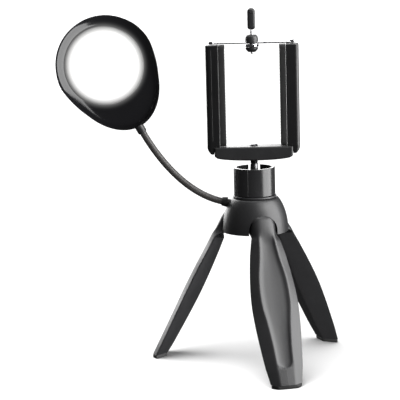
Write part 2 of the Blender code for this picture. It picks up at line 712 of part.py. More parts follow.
def make_lamp(marker, bend):
    lamp = empty("lamp_frame", marker, Vector((LAMP_X, 0.0, LAMP_Z)) - bend, (math.pi / 2.0, LAMP_LEAN, 0.0))
    back = [(1.0, -GAP), (0.99, -4.0), (0.94, -8.5), (0.85, -11.9), (0.70, -13.7), (0.52, -14.0)]
    rings = [egg_ring(0.52, -14.0 + SHELL_T), egg_ring(0.70, -13.7 + SHELL_T)]
    rings += [egg_ring(s, z + SHELL_T * 0.8, SHELL_T * 0.7) for s, z in ((0.85, -11.9), (0.94, -8.5))]
    rings += [egg_ring(0.99, -4.0, SHELL_T), egg_ring(1.0, -GAP, SHELL_T)]
    rings += [egg_ring(s, z) for s, z in back]
    rear = add("lamp_rear_shell", loft_mesh("lamp_rear_shell", rings), lamp, GLOSS)
    cut(rear, rod_mesh("button_hole", (0, -8, -18), (0, -8, -8), 4.3, 24))
    cut(rear, box_mesh("port_hole", (-4.9, -23.9, -18), (4.9, -20.1, -9)))
    soften(rear)

    front = [egg_ring(1.0, 0.0), egg_ring(0.99, 2.8), egg_ring(0.955, 5.2), egg_ring(0.89, 7.4),
             disc_ring(LENS_R + 2.2, 8.9), disc_ring(LENS_R + GAP, 9.1), disc_ring(LENS_R + GAP, 6.5),
             disc_ring(LENS_R + 3.0, 6.5), egg_ring(0.93, 3.4), egg_ring(1.0, 0.0, SHELL_T)]
    bezel = add("lamp_bezel", loft_mesh("lamp_bezel", front, loop=True), lamp, GLOSS)
    soften(bezel)

    middle = (0, LENS_Y, 0)
    turned("diffuser", [(0, 9.9), (12, 9.8), (24, 9.3), (30.3, 8.7), (LENS_R, 8.2), (LENS_R, 6.2),
                        (32.6, 6.2), (32.6, 5.0), (0, 5.0)], lamp, GLOWING, middle, steps=EGG_POINTS)
    turned("reflector_ring", [(29.9, 4.7), (31.8, 4.7), (31.8, 1.0), (29.9, 1.0)], lamp, WHITE, middle,
           loop=True, steps=36)
    turned("led_board", [(0, 2.2), (29.6, 2.2), (29.6, 1.0), (0, 1.0)], lamp, BOARD, middle, steps=36)
    turned("led_ring", [(17.0, 3.4), (24.0, 3.4), (24.0, 2.5), (17.0, 2.5)], lamp, PHOSPHOR, middle,
           loop=True, steps=36)
    bevel(add("battery", box_mesh("battery", (-18, 4, -9.6), (18, 26, -3.6)), lamp, FOIL), 1.5, 2)
    add("control_board", box_mesh("control_board", (-11, -28, -8.5), (11, 1, -7.2)), lamp, BOARD)
    port = add("usb_socket", box_mesh("usb_socket", (-4.6, -23.6, -13.8), (4.6, -20.4, -8.8)), lamp, STEEL)
    cut(port, box_mesh("port_mouth", (-4.1, -23.1, -15), (4.1, -20.9, -9.4)))
    ferrule_len = 5.0
    foot = neck_point(NECK_BENDS[-1]) + neck_direction(NECK_BENDS[-1]) * BEND_CLEAR
    tip = foot + neck_direction(NECK_BENDS[-1]) * ferrule_len
    ferrule = rod_mesh("lamp_ferrule", foot - bend, tip - bend, 3.7, 24)
    bevel(add("lamp_ferrule", ferrule, marker, SATIN), 0.6, 2)

    press = empty("button_axis", lamp, (0, -8, 0))
    turned("power_button", [(0, -9.6), (5.0, -9.6), (5.0, -11.0), (3.95, -11.0), (3.95, -14.7), (3.3, -15.3),
                            (0, -15.3)], press, MATTE, steps=24)


# --------------------------------------------------------------------- build

clear_scene()
PARTS = new_collection("ring_light_stand")
CUTTERS = new_collection("cutters")
SATIN = finish("satin_black_plastic", (0.025, 0.025, 0.027), 0.32)
MATTE = finish("matte_black_plastic", (0.02, 0.02, 0.022), 0.55)
GLOSS = finish("gloss_black_plastic", (0.012, 0.012, 0.014), 0.12)
RUBBER = finish("black_rubber", (0.02, 0.02, 0.02), 0.8)
SLEEVE = finish("neck_sleeve", (0.05, 0.048, 0.047), 0.45)
NYLON = finish("dark_nylon", (0.03, 0.03, 0.032), 0.5)
WHITE = finish("white_plastic", (0.85, 0.85, 0.83), 0.4)
GLOWING = finish("opal_diffuser", (0.95, 0.95, 0.93), 0.25)
PHOSPHOR = finish("led_phosphor", (0.9, 0.75, 0.25), 0.5)
BOARD = finish("circuit_board", (0.75, 0.76, 0.74), 0.45)
FOIL = finish("battery_foil", (0.6, 0.61, 0.63), 0.35, 0.8)
STEEL = finish("nickel_steel", (0.5, 0.5, 0.5), 0.3, 1.0)
CHROME = finish("bright_chrome", (0.75, 0.75, 0.76), 0.12, 1.0)
BRASS = finish("brass", (0.7, 0.5, 0.22), 0.3, 1.0)
NECK_SAMPLES = neck_samples()

ROOT = empty("hub_frame", None, (AXIS_X, AXIS_Y, 0.0))
make_hub(ROOT)
for leg_name, leg_azimuth in zip(LEG_NAMES, leg_azimuths()):
    make_leg(ROOT, leg_name, leg_azimuth)
HEAD = make_head(ROOT)
make_clamp(make_ball(HEAD))
make_lamp(*make_neck(ROOT))
bpy.context.view_layer.update()
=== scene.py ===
"""Looks of a mini tripod phone stand with a round fill light on a bendable neck.

Laid out as a Blender add-on and run as a script. Shapes are drawn in the hub
frame, which stands on the pan axis: +Z up, floor at zero, front towards -Y.
Shape sizes are in millimetres and go through mm(); properties are in metres.
"""
import json
import math

import bmesh
import bpy
from bpy.props import FloatProperty, FloatVectorProperty, IntProperty, PointerProperty
from mathutils import Euler, Matrix, Vector, geometry


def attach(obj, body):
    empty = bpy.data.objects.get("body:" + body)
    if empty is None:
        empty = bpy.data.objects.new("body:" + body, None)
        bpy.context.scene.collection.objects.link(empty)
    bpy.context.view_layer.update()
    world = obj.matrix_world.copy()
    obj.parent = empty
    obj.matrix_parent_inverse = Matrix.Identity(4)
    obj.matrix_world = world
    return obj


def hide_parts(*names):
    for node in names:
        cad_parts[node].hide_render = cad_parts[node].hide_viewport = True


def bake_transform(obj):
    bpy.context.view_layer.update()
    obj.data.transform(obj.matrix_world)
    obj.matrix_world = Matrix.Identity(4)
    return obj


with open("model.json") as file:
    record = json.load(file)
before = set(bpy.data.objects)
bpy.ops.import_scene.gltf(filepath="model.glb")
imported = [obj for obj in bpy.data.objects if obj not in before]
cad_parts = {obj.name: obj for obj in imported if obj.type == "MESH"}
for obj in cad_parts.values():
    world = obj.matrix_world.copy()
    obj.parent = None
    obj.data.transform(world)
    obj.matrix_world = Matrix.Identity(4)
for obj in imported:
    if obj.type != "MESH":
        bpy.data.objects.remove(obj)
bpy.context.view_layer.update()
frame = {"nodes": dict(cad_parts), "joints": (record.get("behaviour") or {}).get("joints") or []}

bl_info = {
    "name": "Ring light phone stand",
    "version": (1, 0, 0),
    "blender": (4, 5, 0),
    "location": "View3D > Sidebar > Stand",
    "description": "Builds the finished look of a mini tripod phone stand with a fill light",
    "category": "Object",
}

JOINTS = {joint["name"]: joint for joint in frame["joints"]}
TAU = 2.0 * math.pi
GAP = 0.3
SIDES = ("left", "right")
LEGS = ("front", "right", "left")
PAN_AXIS = Vector((*JOINTS["head_pan"]["pos_m"][:2], 0.0))
HUB = Matrix.Translation(PAN_AXIS)

# Hub and legs
BOLT_HOLE_R = 2.8
HINGE_Z = 113.0
HINGE_R = 16.5
SPLAY = math.radians(27.5)
FRONT_AZIMUTH = 15.0
LEG_PLANE = 9.1
RIM_H = 4.8
KNUCKLE_R = 10.8
RIDGE_SHARE = 0.4
FOOT_T = 3.0
DISH_END = 118.0
LEG_END = 129.0
# distance from the hinge, half width, half width of the dished panel
LEG_STATIONS = ((-10.0, 11.6, 5.5), (10.0, 12.2, 5.9), (25.0, 15.2, 7.2), (45.0, 18.0, 10.6),
                (64.0, 19.4, 11.2), (82.0, 18.8, 8.8), (100.0, 17.2, 7.0), (116.0, 15.4, 6.2),
                (130.0, 13.0, 5.4), (150.0, 13.0, 5.4))
# corner radii round the sections of the leg's shell and of its cover, from the left edge
SHELL_RADII = (1.0, 1.3, 0.9, 2.2, 6.0, 2.2, 0.9, 1.3, 1.0, 3.0, 3.0, 3.0)
COVER_RADII = (0.8, 3.0, 0.8, 3.0, 1.2, 3.0)
# directions of the corners of the leg's round head, one for each corner of the shell
HEAD_ANGLES = (180, 150, 128, 108, 90, 72, 52, 30, 0, -45, -90, -135)

# Pan head
BALL_Z = 150.4
BALL_R = 7.4
STEM_R = 3.175

# Clamp
BAR_TOP_Z = 178.9
JAW_TOP_Z = 260.9
JAW_HALF_Y = 6.8
WIRE_Y = 3.0
WIRE_Z = 262.0
WIRE_R = 0.65
CHANNEL_MIDDLE_Z = 174.7

# Neck
NECK_ENDS = (Vector((-15.0, 0.0, 132.4)), Vector((-90.6, 0.0, 194.3)))
NECK_HANDLES = (Vector((-51.0, 0.0, 133.2)), Vector((-77.7, 0.0, 169.5)))
NECK_BENDS = (17.0, 43.0, 70.0, 96.0)
NECK_LENGTH = 100.0
NECK_STEP = 0.1
BEND_REACH = 11.0

# Lamp head, in its own frame: +Z forward out of the lens, -Y towards the neck
LAMP_TURN = Euler((math.pi / 2, math.radians(-28.2), 0))
LAMP = Matrix.Translation(Vector((-0.1173, 0.0, 0.2462))) @ LAMP_TURN.to_matrix().to_4x4()
EGG_R = 40.7
EGG_TIP = 56.2
EGG_SLIM = 0.065
LENS_Y = 0.6
LIGHT_STRENGTH = 1.6
# the light fades from this far inside the lens edge to this far outside it, and falls off by this power
FADE_INSIDE, FADE_OUTSIDE, FADE_POWER = 11.0, 6.0, 1.75
# where the lens light is painted as a glow on the lamp shell, along the hub frame's Y: in full before the
# first, gone past the second
PAINTED_GLOW_FULL, PAINTED_GLOW_GONE = -6.5, -4.0

# Studio: each softbox has its azimuth (0 in front, 90 to the right) and elevation in degrees, its distance,
# width and height in metres, and the group of pieces that it reaches
SOFTBOXES = {"side": (76.0, 14.0, 1.3, 1.5, 1.9, "stand"), "front": (42.0, 48.0, 1.4, 0.8, 0.7, "stand"),
             "top": (180.0, 78.0, 1.2, 1.0, 0.6, "stand"), "rear": (205.0, 18.0, 1.3, 1.3, 1.2, "all"),
             "leg": (30.0, 0.0, 1.1, 0.5, 0.5, "legs"), "head": (-58.0, 8.0, 0.9, 1.3, 1.9, "head")}
# height over the floor that they look at, all but the lamp head's, in millimetres
AIM_HEIGHT = 150.0
# half the floor's side in metres, and how far it lies under the feet in millimetres
FLOOR_REACH = 40.0
FLOOR_DROP = 0.05
# degrees
FLOOR_LIGHT_SPREAD = 60.0
FLOOR_LIGHT_LEAN = (12.0, -14.0)
# the world where pieces mirror it, as a light, and where the camera sees it
WORLD_MIRRORED = (0.045, 0.045, 0.047)
WORLD_AS_LIGHT = 0.3
WORLD_SEEN = 1.2


def mm(value):
    """A length or a point in millimetres, in metres."""
    return Vector(value) * 0.001 if hasattr(value, "__len__") else value * 0.001


def moved(point):
    """A move to a point in millimetres."""
    return Matrix.Translation(mm(point))


def aimed(point, way):
    """A move to a point in millimetres, after +Z is turned to look along a direction."""
    return moved(point) @ way.to_track_quat("Z", "Y").to_matrix().to_4x4()


def new_object(name, data):
    made = bpy.data.objects.new(name, data)
    bpy.context.scene.collection.objects.link(made)
    return made


# ------------------------------------------------------------------ properties

def length(name, description, millimetres):
    return FloatProperty(name=name, description=description, default=mm(millimetres), unit="LENGTH", min=0.0)


def colour(name, description, value):
    return FloatVectorProperty(name=name, description=description, default=value, size=3, min=0.0,
                               max=1.0, subtype="COLOR")


def tilt(name, description, degrees):
    return FloatProperty(name=name, description=description, default=math.radians(degrees), subtype="ANGLE")


def watts(name, description, value):
    return FloatProperty(name=name, description=description, default=value, unit="POWER", min=0.0)


class StandSizes(bpy.types.PropertyGroup):
    hub_top_height: length("Hub top height", "Height of the bell's flat top", 136.8)
    hub_rim_height: length("Hub rim height", "Height of the bell's lower rim", 109.5)
    hub_top_radius: length("Hub top radius", "Radius of the bell's flat top", 18.5)
    hub_rim_radius: length("Hub rim radius", "Radius of the bell's lower rim", 26.9)
    arch_radius: length("Arch radius", "Radius of the arch over each leg's head", 11.8)
    dish_depth: length("Dish depth", "How deep the panel of each leg is dished", 1.5)
    drum_radius: length("Drum radius", "Outer radius of the pan drum", 16.75)
    drum_bore: length("Drum bore", "Inner radius of the pan drum", 14.3)
    notch_radius: length("Notch radius", "Half width of the notch in the drum", 4.7)
    neck_radius: length("Neck radius", "Radius of the neck over its ribs", 2.85)
    rib_pitch: length("Rib pitch", "Distance from one turn of the neck's rib to the next", 1.3)
    rib_depth: length("Rib depth", "Depth of the groove between the neck's ribs", 0.22)
    lens_radius: length("Lens radius", "Radius of the lit disc", 31.0)
    pad_rib_pitch: length("Pad rib pitch", "Distance between the grip ribs of the jaw pads", 2.4)
    round_steps: IntProperty(name="Round steps", description="Sides of a turned piece", default=128,
                             min=24, max=256)


class StandColours(bpy.types.PropertyGroup):
    satin: colour("Satin plastic", "Colour of the legs, the bell and the drum", (0.020, 0.020, 0.021))
    matte: colour("Matte plastic", "Colour of the jaws and of the ball's ring", (0.007, 0.007, 0.0075))
    gloss: colour("Gloss plastic", "Colour of the lamp head", (0.008, 0.008, 0.009))
    rubber: colour("Rubber", "Colour of the pads, the feet and the neck's collar", (0.012, 0.012, 0.012))
    sleeve: colour("Neck sleeve", "Colour of the bendable neck", (0.055, 0.052, 0.050))
    steel: colour("Nickel steel", "Colour of the pins, rails and wires", (0.50, 0.50, 0.51))
    dark_steel: colour("Dark steel", "Colour of the ball and its stem", (0.16, 0.16, 0.165))
    chrome: colour("Chrome", "Colour of the bright band", (0.78, 0.78, 0.79))
    light: colour("Light", "Colour of the lit disc", (1.0, 0.995, 0.985))


class StudioSettings(bpy.types.PropertyGroup):
    lens: FloatProperty(name="Lens", description="Camera focal length in millimetres", default=146.2,
                        min=20.0)
    distance: length("Distance", "Camera distance from the pan axis", 1300.0)
    height: length("Height", "Camera height over the floor", 360.0)
    pitch: tilt("Pitch", "How far the camera looks down", 9.85)
    roll: tilt("Roll", "How far the camera is turned about its own axis", -1.2)
    shift: FloatProperty(name="Shift", description="Sideways shift of the camera's frame", default=-0.1372)
    side_power: watts("Side light", "Power of the side softbox", 68.0)
    front_power: watts("Front light", "Power of the front softbox", 6.0)
    top_power: watts("Top light", "Power of the overhead softbox", 12.0)
    rear_power: watts("Rear light", "Power of the softbox behind the stand", 26.0)
    leg_power: watts("Leg light", "Power of the low softbox on the right and left legs", 25.0)
    head_power: watts("Lamp head light", "Power of the softbox that models the lamp head", 36.0)
    floor_strength: FloatProperty(name="Floor light", description="Strength of the even light on the floor",
                                  default=4.3, min=0.0)


def sized(*names):
    """Sizes from the panel, in millimetres."""
    found = [getattr(bpy.context.scene.stand_sizes, name) * 1000 for name in names]
    return found if len(found) > 1 else found[0]


def colours():
    return bpy.context.scene.stand_colours


# --------------------------------------------------------------------- shaders

class Signal:
    """A node's output in an expression. Arithmetic on it adds Math nodes."""

    def __init__(self, graph, socket):
        self.graph = graph
        self.socket = socket

    def math(self, operation, first, second=None):
        values = {0: first} if second is None else {0: first, 1: second}
        return self.graph.node("ShaderNodeMath", {"operation": operation}, values)

    def __add__(self, other):
        return self.math("ADD", self, other)

    def __radd__(self, other):
        return self.math("ADD", other, self)

    def __sub__(self, other):
        return self.math("SUBTRACT", self, other)

    def __rsub__(self, other):
        return self.math("SUBTRACT", other, self)

    def __mul__(self, other):
        return self.math("MULTIPLY", self, other)

    def __rmul__(self, other):
        return self.math("MULTIPLY", other, self)

    def __pow__(self, other):
        return self.math("POWER", self, other)


class Graph:
    """A material and its nodes."""

    def __init__(self, name):
        self.material = bpy.data.materials.new(name)
        self.material.use_nodes = True
        self.tree = self.material.node_tree
        self.shader = self.tree.nodes["Principled BSDF"]

    def node(self, kind, settings=None, inputs=None, output=0):
        """Adds a node: its settings first, then the values or links of its sockets."""
        made = self.tree.nodes.new(kind)
        for key, value in (settings or {}).items():
            if key == "stops":
                self.set_stops(made.color_ramp, value)
            else:
                setattr(made, key, value)
        for key, value in (inputs or {}).items():
            self.feed(made.inputs[key], value)
        return Signal(self, made.outputs[output])

    def set_stops(self, ramp, stops):
        while len(ramp.elements) < len(stops):
            ramp.elements.new(0.5)
        for element, (position, value) in zip(ramp.elements, stops):
            element.position = position
            element.color = (*value, 1.0)

    def feed(self, socket, value):
        if isinstance(value, Signal):
            self.tree.links.new(value.socket, socket)
        elif hasattr(value, "__len__") and len(socket.default_value) == 4 and len(value) == 3:
            socket.default_value = (*value, 1.0)
        else:
            socket.default_value = value

    def place(self):
        """Coordinates in the piece's own frame, in metres."""
        return self.node("ShaderNodeTexCoord", output="Object")

    def scaled(self, vector, factors):
        return self.node("ShaderNodeVectorMath", {"operation": "MULTIPLY"}, {0: vector, 1: factors})

    def noise(self, vector, cell, detail=2.0, roughness=0.5):
        """Noise whose features are about one cell wide, in millimetres."""
        return self.node("ShaderNodeTexNoise", {"noise_dimensions": "3D"},
                         {"Vector": vector, "Scale": 1.0 / mm(cell), "Detail": detail,
                          "Roughness": roughness})

    def mix(self, factor, first, second):
        """A colour between two colours."""
        return self.node("ShaderNodeMix", {"data_type": "RGBA"}, {0: factor, 6: first, 7: second}, output=2)

    def step(self, value, low, high):
        """Zero under low, one over high, smooth between."""
        return self.node("ShaderNodeMapRange", {"interpolation_type": "SMOOTHSTEP"},
                         {"Value": value, "From Min": low, "From Max": high})

    def relief(self, height, depth):
        """A bump of a depth in millimetres."""
        return self.node("ShaderNodeBump", {}, {"Height": height, "Distance": mm(depth), "Strength": 1.0})

    def finish(self, **sockets):
        """Sets the Principled shader's sockets, named with underscores for spaces."""
        for key, value in sockets.items():
            self.feed(self.shader.inputs[key.replace("_", " ")], value)
        return self.material


def shade(value, factor):
    """A colour made darker or lighter."""
    return tuple(min(1.0, channel * factor) for channel in value)


def moulded_plastic(name, base, roughness, grain, depth):
    """Moulded plastic: a spark-eroded grain, faint clouds in its gloss and rubbed patches."""
    graph = Graph(name)
    place = graph.place()
    fine = graph.noise(place, grain, 3.0, 0.6)
    cloud = graph.noise(place, 14.0, 3.0)
    rubbed = graph.step(graph.noise(place, 5.0, 5.0, 0.7), 0.56, 0.72)
    tone = graph.mix(cloud, shade(base, 0.82), shade(base, 1.2))
    worn = graph.mix(rubbed * 0.35, tone, shade(base, 1.5))
    gloss = roughness + 0.06 * (cloud - 0.5) + 0.05 * rubbed + 0.08 * (fine - 0.5)
    return graph.finish(Base_Color=worn, Roughness=gloss, Normal=graph.relief(fine, depth))


def lens_light(graph, place):
    """How bright the light is at a point in front of the lamp: full in the middle, gone past the edge."""
    away = graph.node("ShaderNodeVectorMath", {"operation": "SUBTRACT"},
                      {0: place, 1: LAMP @ mm((0, LENS_Y, 0))})
    reach = graph.node("ShaderNodeVectorMath", {"operation": "LENGTH"},
                       {0: graph.scaled(away, (1.0, 0.0, 1.0))}, output="Value")
    lens = sized("lens_radius")
    return (1.0 - graph.step(reach, mm(lens - FADE_INSIDE), mm(lens + FADE_OUTSIDE))) ** FADE_POWER


def gloss_plastic(name):
    """Polished lamp shell: long faint polishing marks, and a painted glow near the lens edge, where the shell
    itself emits the lens light.
    """
    graph = Graph(name)
    place = graph.place()
    haze = graph.noise(place, 22.0, 3.0)
    streaks = graph.noise(graph.scaled(place, (1.0, 1.0, 0.12)), 0.5, 2.0)
    scratch = graph.step(streaks, 0.66, 0.75)
    base = colours().gloss
    gloss = 0.15 + 0.07 * (haze - 0.5) + 0.06 * scratch
    depth = graph.node("ShaderNodeSeparateXYZ", {}, {0: place}, output="Y")
    front = 1.0 - graph.step(depth, mm(PAINTED_GLOW_FULL), mm(PAINTED_GLOW_GONE))
    # painted glow: near the lens edge and towards the front, the shell itself emits the lens light
    glow = graph.mix(lens_light(graph, place) * front, (0.0, 0.0, 0.0), colours().light)
    return graph.finish(Base_Color=graph.mix(haze, shade(base, 0.8), shade(base, 1.3)), Roughness=gloss,
                        Emission_Color=glow, Emission_Strength=LIGHT_STRENGTH, Coat_Weight=0.3,
                        Coat_Roughness=0.08, Normal=graph.relief(streaks, 0.002))


def rubber(name):
    graph = Graph(name)
    place = graph.place()
    grain = graph.noise(place, 0.25, 4.0, 0.7)
    bloom = graph.step(graph.noise(place, 7.0, 4.0, 0.6), 0.45, 0.8)
    base = colours().rubber
    return graph.finish(Base_Color=graph.mix(bloom * 0.5, shade(base, 0.9), shade(base, 2.0)),
                        Roughness=0.68 + 0.1 * (grain - 0.5) + 0.06 * bloom, Normal=graph.relief(grain, 0.03))


def neck_sleeve(name):
    graph = Graph(name)
    place = graph.place()
    grain = graph.noise(place, 0.3, 3.0, 0.6)
    cloud = graph.noise(place, 9.0, 3.0)
    base = colours().sleeve
    return graph.finish(Base_Color=graph.mix(cloud, shade(base, 0.75), shade(base, 1.25)),
                        Roughness=0.42 + 0.1 * (cloud - 0.5) + 0.06 * (grain - 0.5),
                        Normal=graph.relief(grain, 0.012))


def drawn_metal(name, base, roughness, stretch, marks, cell):
    """Metal with fine marks drawn out along one way, and faint handling stains."""
    graph = Graph(name)
    place = graph.place()
    lines = graph.noise(graph.scaled(place, stretch), cell, 3.0, 0.6)
    stain = graph.noise(place, 6.0, 4.0, 0.6)
    return graph.finish(Base_Color=graph.mix(stain, shade(base, 0.85), shade(base, 1.1)), Metallic=1.0,
                        Roughness=roughness + 0.12 * (lines - 0.5) + 0.08 * (stain - 0.5),
                        Normal=graph.relief(lines, marks))


def lit_diffuser(name):
    """Opal disc: full light in its middle that fades at its edge, and a fine frosted skin."""
    graph = Graph(name)
    place = graph.place()
    frost = graph.noise(place, 0.2, 2.0)
    uneven = graph.noise(place, 18.0, 2.0)
    light, level = colours().light, lens_light(graph, place)
    glow = graph.mix(level, (0.0, 0.0, 0.0), graph.mix(uneven, shade(light, 0.97), light))
    return graph.finish(Base_Color=graph.mix(level, (0.12, 0.12, 0.12), (0.85, 0.85, 0.84)),
                        Roughness=0.3 + 0.06 * (frost - 0.5), Emission_Color=glow,
                        Emission_Strength=LIGHT_STRENGTH, Normal=graph.relief(frost, 0.01))


def led_phosphor(name):
    """Yellow gel over the diodes, with the diodes showing as pale cells."""
    graph = Graph(name)
    place = graph.place()
    cells = graph.node("ShaderNodeTexVoronoi", {"feature": "F1"}, {"Vector": place, "Scale": 1.0 / mm(3.2)})
    spot = 1.0 - graph.step(cells, 0.25, 0.45)
    return graph.finish(Base_Color=graph.mix(spot, (0.85, 0.62, 0.12), (0.95, 0.85, 0.4)),
                        Roughness=0.35 + 0.1 * graph.noise(place, 1.0), Normal=graph.relief(spot, 0.1))


def circuit_board(name):
    """White solder mask over copper traces that run across the board."""
    graph = Graph(name)
    place = graph.place()
    bricks = graph.node("ShaderNodeTexBrick", {"offset": 0.35},
                        {"Vector": graph.scaled(place, (1.0, 1.0, 1.7)), "Scale": 1.0 / mm(9.0),
                         "Mortar Size": 0.03, "Color1": (0.0, 0.0, 0.0), "Color2": (0.0, 0.0, 0.0),
                         "Mortar": (1.0, 1.0, 1.0)})
    trace = graph.node("ShaderNodeSeparateColor", {}, {0: bricks})
    return graph.finish(Base_Color=graph.mix(trace, (0.7, 0.72, 0.69), (0.52, 0.56, 0.5)),
                        Roughness=0.42 - 0.12 * trace, Normal=graph.relief(trace, 0.03))


def studio_floor(name):
    graph = Graph(name)
    mottle = graph.noise(graph.place(), 400.0, 3.0)
    return graph.finish(Base_Color=graph.mix(mottle, (0.86, 0.86, 0.86), (0.9, 0.9, 0.9)),
                        Roughness=0.85 + 0.05 * mottle)


# colour, roughness, and the grain's cell and depth in millimetres
PLASTICS = {"satin_black_plastic": ("satin", 0.40, 0.35, 0.012),
            "polished_black_plastic": ("satin", 0.22, 0.35, 0.006),
            "matte_black_plastic": ("matte", 0.36, 0.45, 0.015),
            "dark_nylon": ((0.025, 0.025, 0.027), 0.46, 0.6, 0.02),
            "white_plastic": ((0.8, 0.8, 0.78), 0.4, 0.6, 0.01)}
# colour, roughness, stretch of the marks, and their depth and cell in millimetres
METALS = {"nickel_steel": ("steel", 0.28, (0.1, 1.0, 1.0), 0.004, 0.4),
          "dark_steel": ("dark_steel", 0.34, (1.0, 1.0, 0.15), 0.004, 0.4),
          "bright_chrome": ("chrome", 0.09, (1.0, 1.0, 1.0), 0.001, 2.0),
          "brass": ((0.62, 0.43, 0.17), 0.3, (1.0, 1.0, 4.0), 0.004, 0.4),
          "battery_foil": ((0.6, 0.61, 0.63), 0.36, (1.0, 1.0, 1.0), 0.05, 3.0)}
OTHER_FINISHES = {"gloss_black_plastic": gloss_plastic, "black_rubber": rubber, "neck_sleeve": neck_sleeve,
                  "opal_diffuser": lit_diffuser, "led_phosphor": led_phosphor,
                  "circuit_board": circuit_board, "studio_floor": studio_floor}
MADE_FINISHES = {}


def new_finish(name):
    """Makes a finish; a colour given by name comes from the panel."""
    for table, make in ((PLASTICS, moulded_plastic), (METALS, drawn_metal)):
        if name in table:
            base, *rest = table[name]
            return make(name, getattr(colours(), base) if isinstance(base, str) else base, *rest)
    return OTHER_FINISHES[name](name)


def finish_named(name):
    """The finish, made the first time it is asked for."""
    if name not in MADE_FINISHES:
        MADE_FINISHES[name] = new_finish(name)
    return MADE_FINISHES[name]


# ----------------------------------------------------------------------- shapes

def new_mesh(name, build):
    """A mesh filled by a function that works on a bmesh."""
    mesh = bpy.data.meshes.new(name)
    work = bmesh.new()
    build(work)
    bmesh.ops.recalc_face_normals(work, faces=work.faces)
    work.to_mesh(mesh)
    work.free()
    return mesh


def turned_mesh(name, profile, steps=0, loop=False, rounding=0.0):
    """A turned form from (radius, height) pairs, its corners rounded."""
    steps = steps or bpy.context.scene.stand_sizes.round_steps
    if rounding:
        profile = fillet(profile, [rounding] * len(profile), 3, loop)

    def build(work):
        rows = []
        for radius, height in profile:
            if radius < 1e-6:
                rows.append([work.verts.new(mm((0, 0, height)))] * steps)
            else:
                rows.append([work.verts.new(mm((radius * math.cos(TAU * i / steps),
                                                radius * math.sin(TAU * i / steps), height)))
                             for i in range(steps)])
        pairs = list(zip(rows, rows[1:])) + ([(rows[-1], rows[0])] if loop else [])
        for first, second in pairs:
            for i in range(steps):
                j = (i + 1) % steps
                corners = list(dict.fromkeys((first[i], first[j], second[j], second[i])))
                if len(corners) > 2:
                    work.faces.new(corners)

    return new_mesh(name, build)


def lofted_mesh(name, rings, loop=False):
    """A skin through rings of equal count, capped at both ends or closed on itself."""

    def build(work):
        rows = [[work.verts.new(mm(point)) for point in ring] for ring in rings]
        count = len(rows[0])
        pairs = list(zip(rows, rows[1:])) + ([(rows[-1], rows[0])] if loop else [])
        for first, second in pairs:
            for i in range(count):
                j = (i + 1) % count
                work.faces.new((first[i], first[j], second[j], second[i]))
        if not loop:
            work.faces.new(rows[0][::-1])
            work.faces.new(rows[-1])

    return new_mesh(name, build)


def fillet(points, radii, steps, loop=True):
    """An outline with each corner replaced by a short curve; every corner gives the same point count."""
    points = [Vector((*p, 0.0)[:3]) for p in points]
    count, out = len(points), []
    for i, here in enumerate(points):
        if not loop and i in (0, count - 1):
            out.append(here)
            continue
        before, after = points[i - 1] - here, points[(i + 1) % count] - here
        start = here + before.normalized() * min(radii[i], before.length * 0.499)
        end = here + after.normalized() * min(radii[i], after.length * 0.499)
        for k in range(steps + 1):
            t = k / steps
            out.append(start * (1 - t) ** 2 + here * 2 * t * (1 - t) + end * t ** 2)
    return [(p.x, p.y) for p in out]


def outline_mesh(name, corners, low, high, radii=(), edge=0.0):
    """A flat outline drawn in X and Z, deep along Y, with its corners and its long edges rounded."""
    steps = 4 if edge else 0
    rings = []
    for end, inward in ((low, 1), (high, -1)):
        group = []
        for k in range(steps + 1):
            angle = math.pi / 2 * k / steps if steps else math.pi / 2
            inset, lift = edge * (1 - math.sin(angle)), edge * (1 - math.cos(angle))
            group.append([(x, end + inward * lift, z) for x, z in inset_outline(corners, radii, inset)])
        if edge:
            group.insert(0, [(x, end, z) for x, z in inset_outline(corners, radii, edge + 0.2)])
        rings += group if inward > 0 else group[::-1]
    return lofted_mesh(name, rings)


def inset_outline(corners, radii, inset):
    """The outline pulled in by an inset along its corners, then rounded."""
    points = [Vector(corner) for corner in corners]
    turn = sum(a.x * b.y - b.x * a.y for a, b in zip(points, points[1:] + points[:1]))
    pulled = []
    for i, here in enumerate(points):
        ahead, behind = points[(i + 1) % len(points)] - here, here - points[i - 1]
        normals = [Vector((-way.y, way.x)).normalized() * (1 if turn > 0 else -1) for way in (ahead, behind)]
        pulled.append(here + (normals[0] + normals[1]) / (1 + normals[0].dot(normals[1])) * inset)
    if not radii:
        return [tuple(point) for point in pulled]
    return fillet(pulled, [max(radius - inset, 0.05) for radius in radii], 4)


def rod(name, start, end, radius, edge=0.25, steps=32):
    """A rod with rounded ends."""
    start, end = Vector(start), Vector(end)
    reach = (end - start).length
    profile = fillet([(0, 0), (radius, 0), (radius, reach), (0, reach)], [edge] * 4, 4, False)
    mesh = turned_mesh(name, profile, steps)
    mesh.transform(aimed(start, end - start))
    return mesh


def hole(start, end, radius, steps=32):
    """A cutter for a round hole."""
    return rod("hole", start, end, radius, 0.01, steps)


def block_mesh(name, low, high, edge, steps=3):
    """A block between two corners with rounded edges and corners."""
    low, high = Vector(low), Vector(high)

    def build(work):
        bmesh.ops.create_cube(work, size=1.0)
        bmesh.ops.scale(work, vec=mm(high - low), verts=work.verts)
        bmesh.ops.translate(work, vec=mm((low + high) / 2), verts=work.verts)
        if edge:
            bmesh.ops.bevel(work, geom=list(work.edges), offset=mm(edge), segments=steps, profile=0.5,
                            affect="EDGES")

    return new_mesh(name, build)


def turned_about_z(mesh, degrees):
    mesh.transform(Matrix.Rotation(math.radians(degrees), 4, "Z"))
    return mesh


def smooth_path(rings, between):
    """More rings through the given ones, on a smooth curve through each point."""
    out = []
    last = len(rings) - 1
    for i in range(last):
        a, b, c, d = rings[max(i - 1, 0)], rings[i], rings[i + 1], rings[min(i + 2, last)]
        for k in range(between):
            t = k / between
            out.append([spline_point(*[Vector(r[j]) for r in (a, b, c, d)], t) for j in range(len(b))])
    out.append([Vector(p) for p in rings[-1]])
    return out


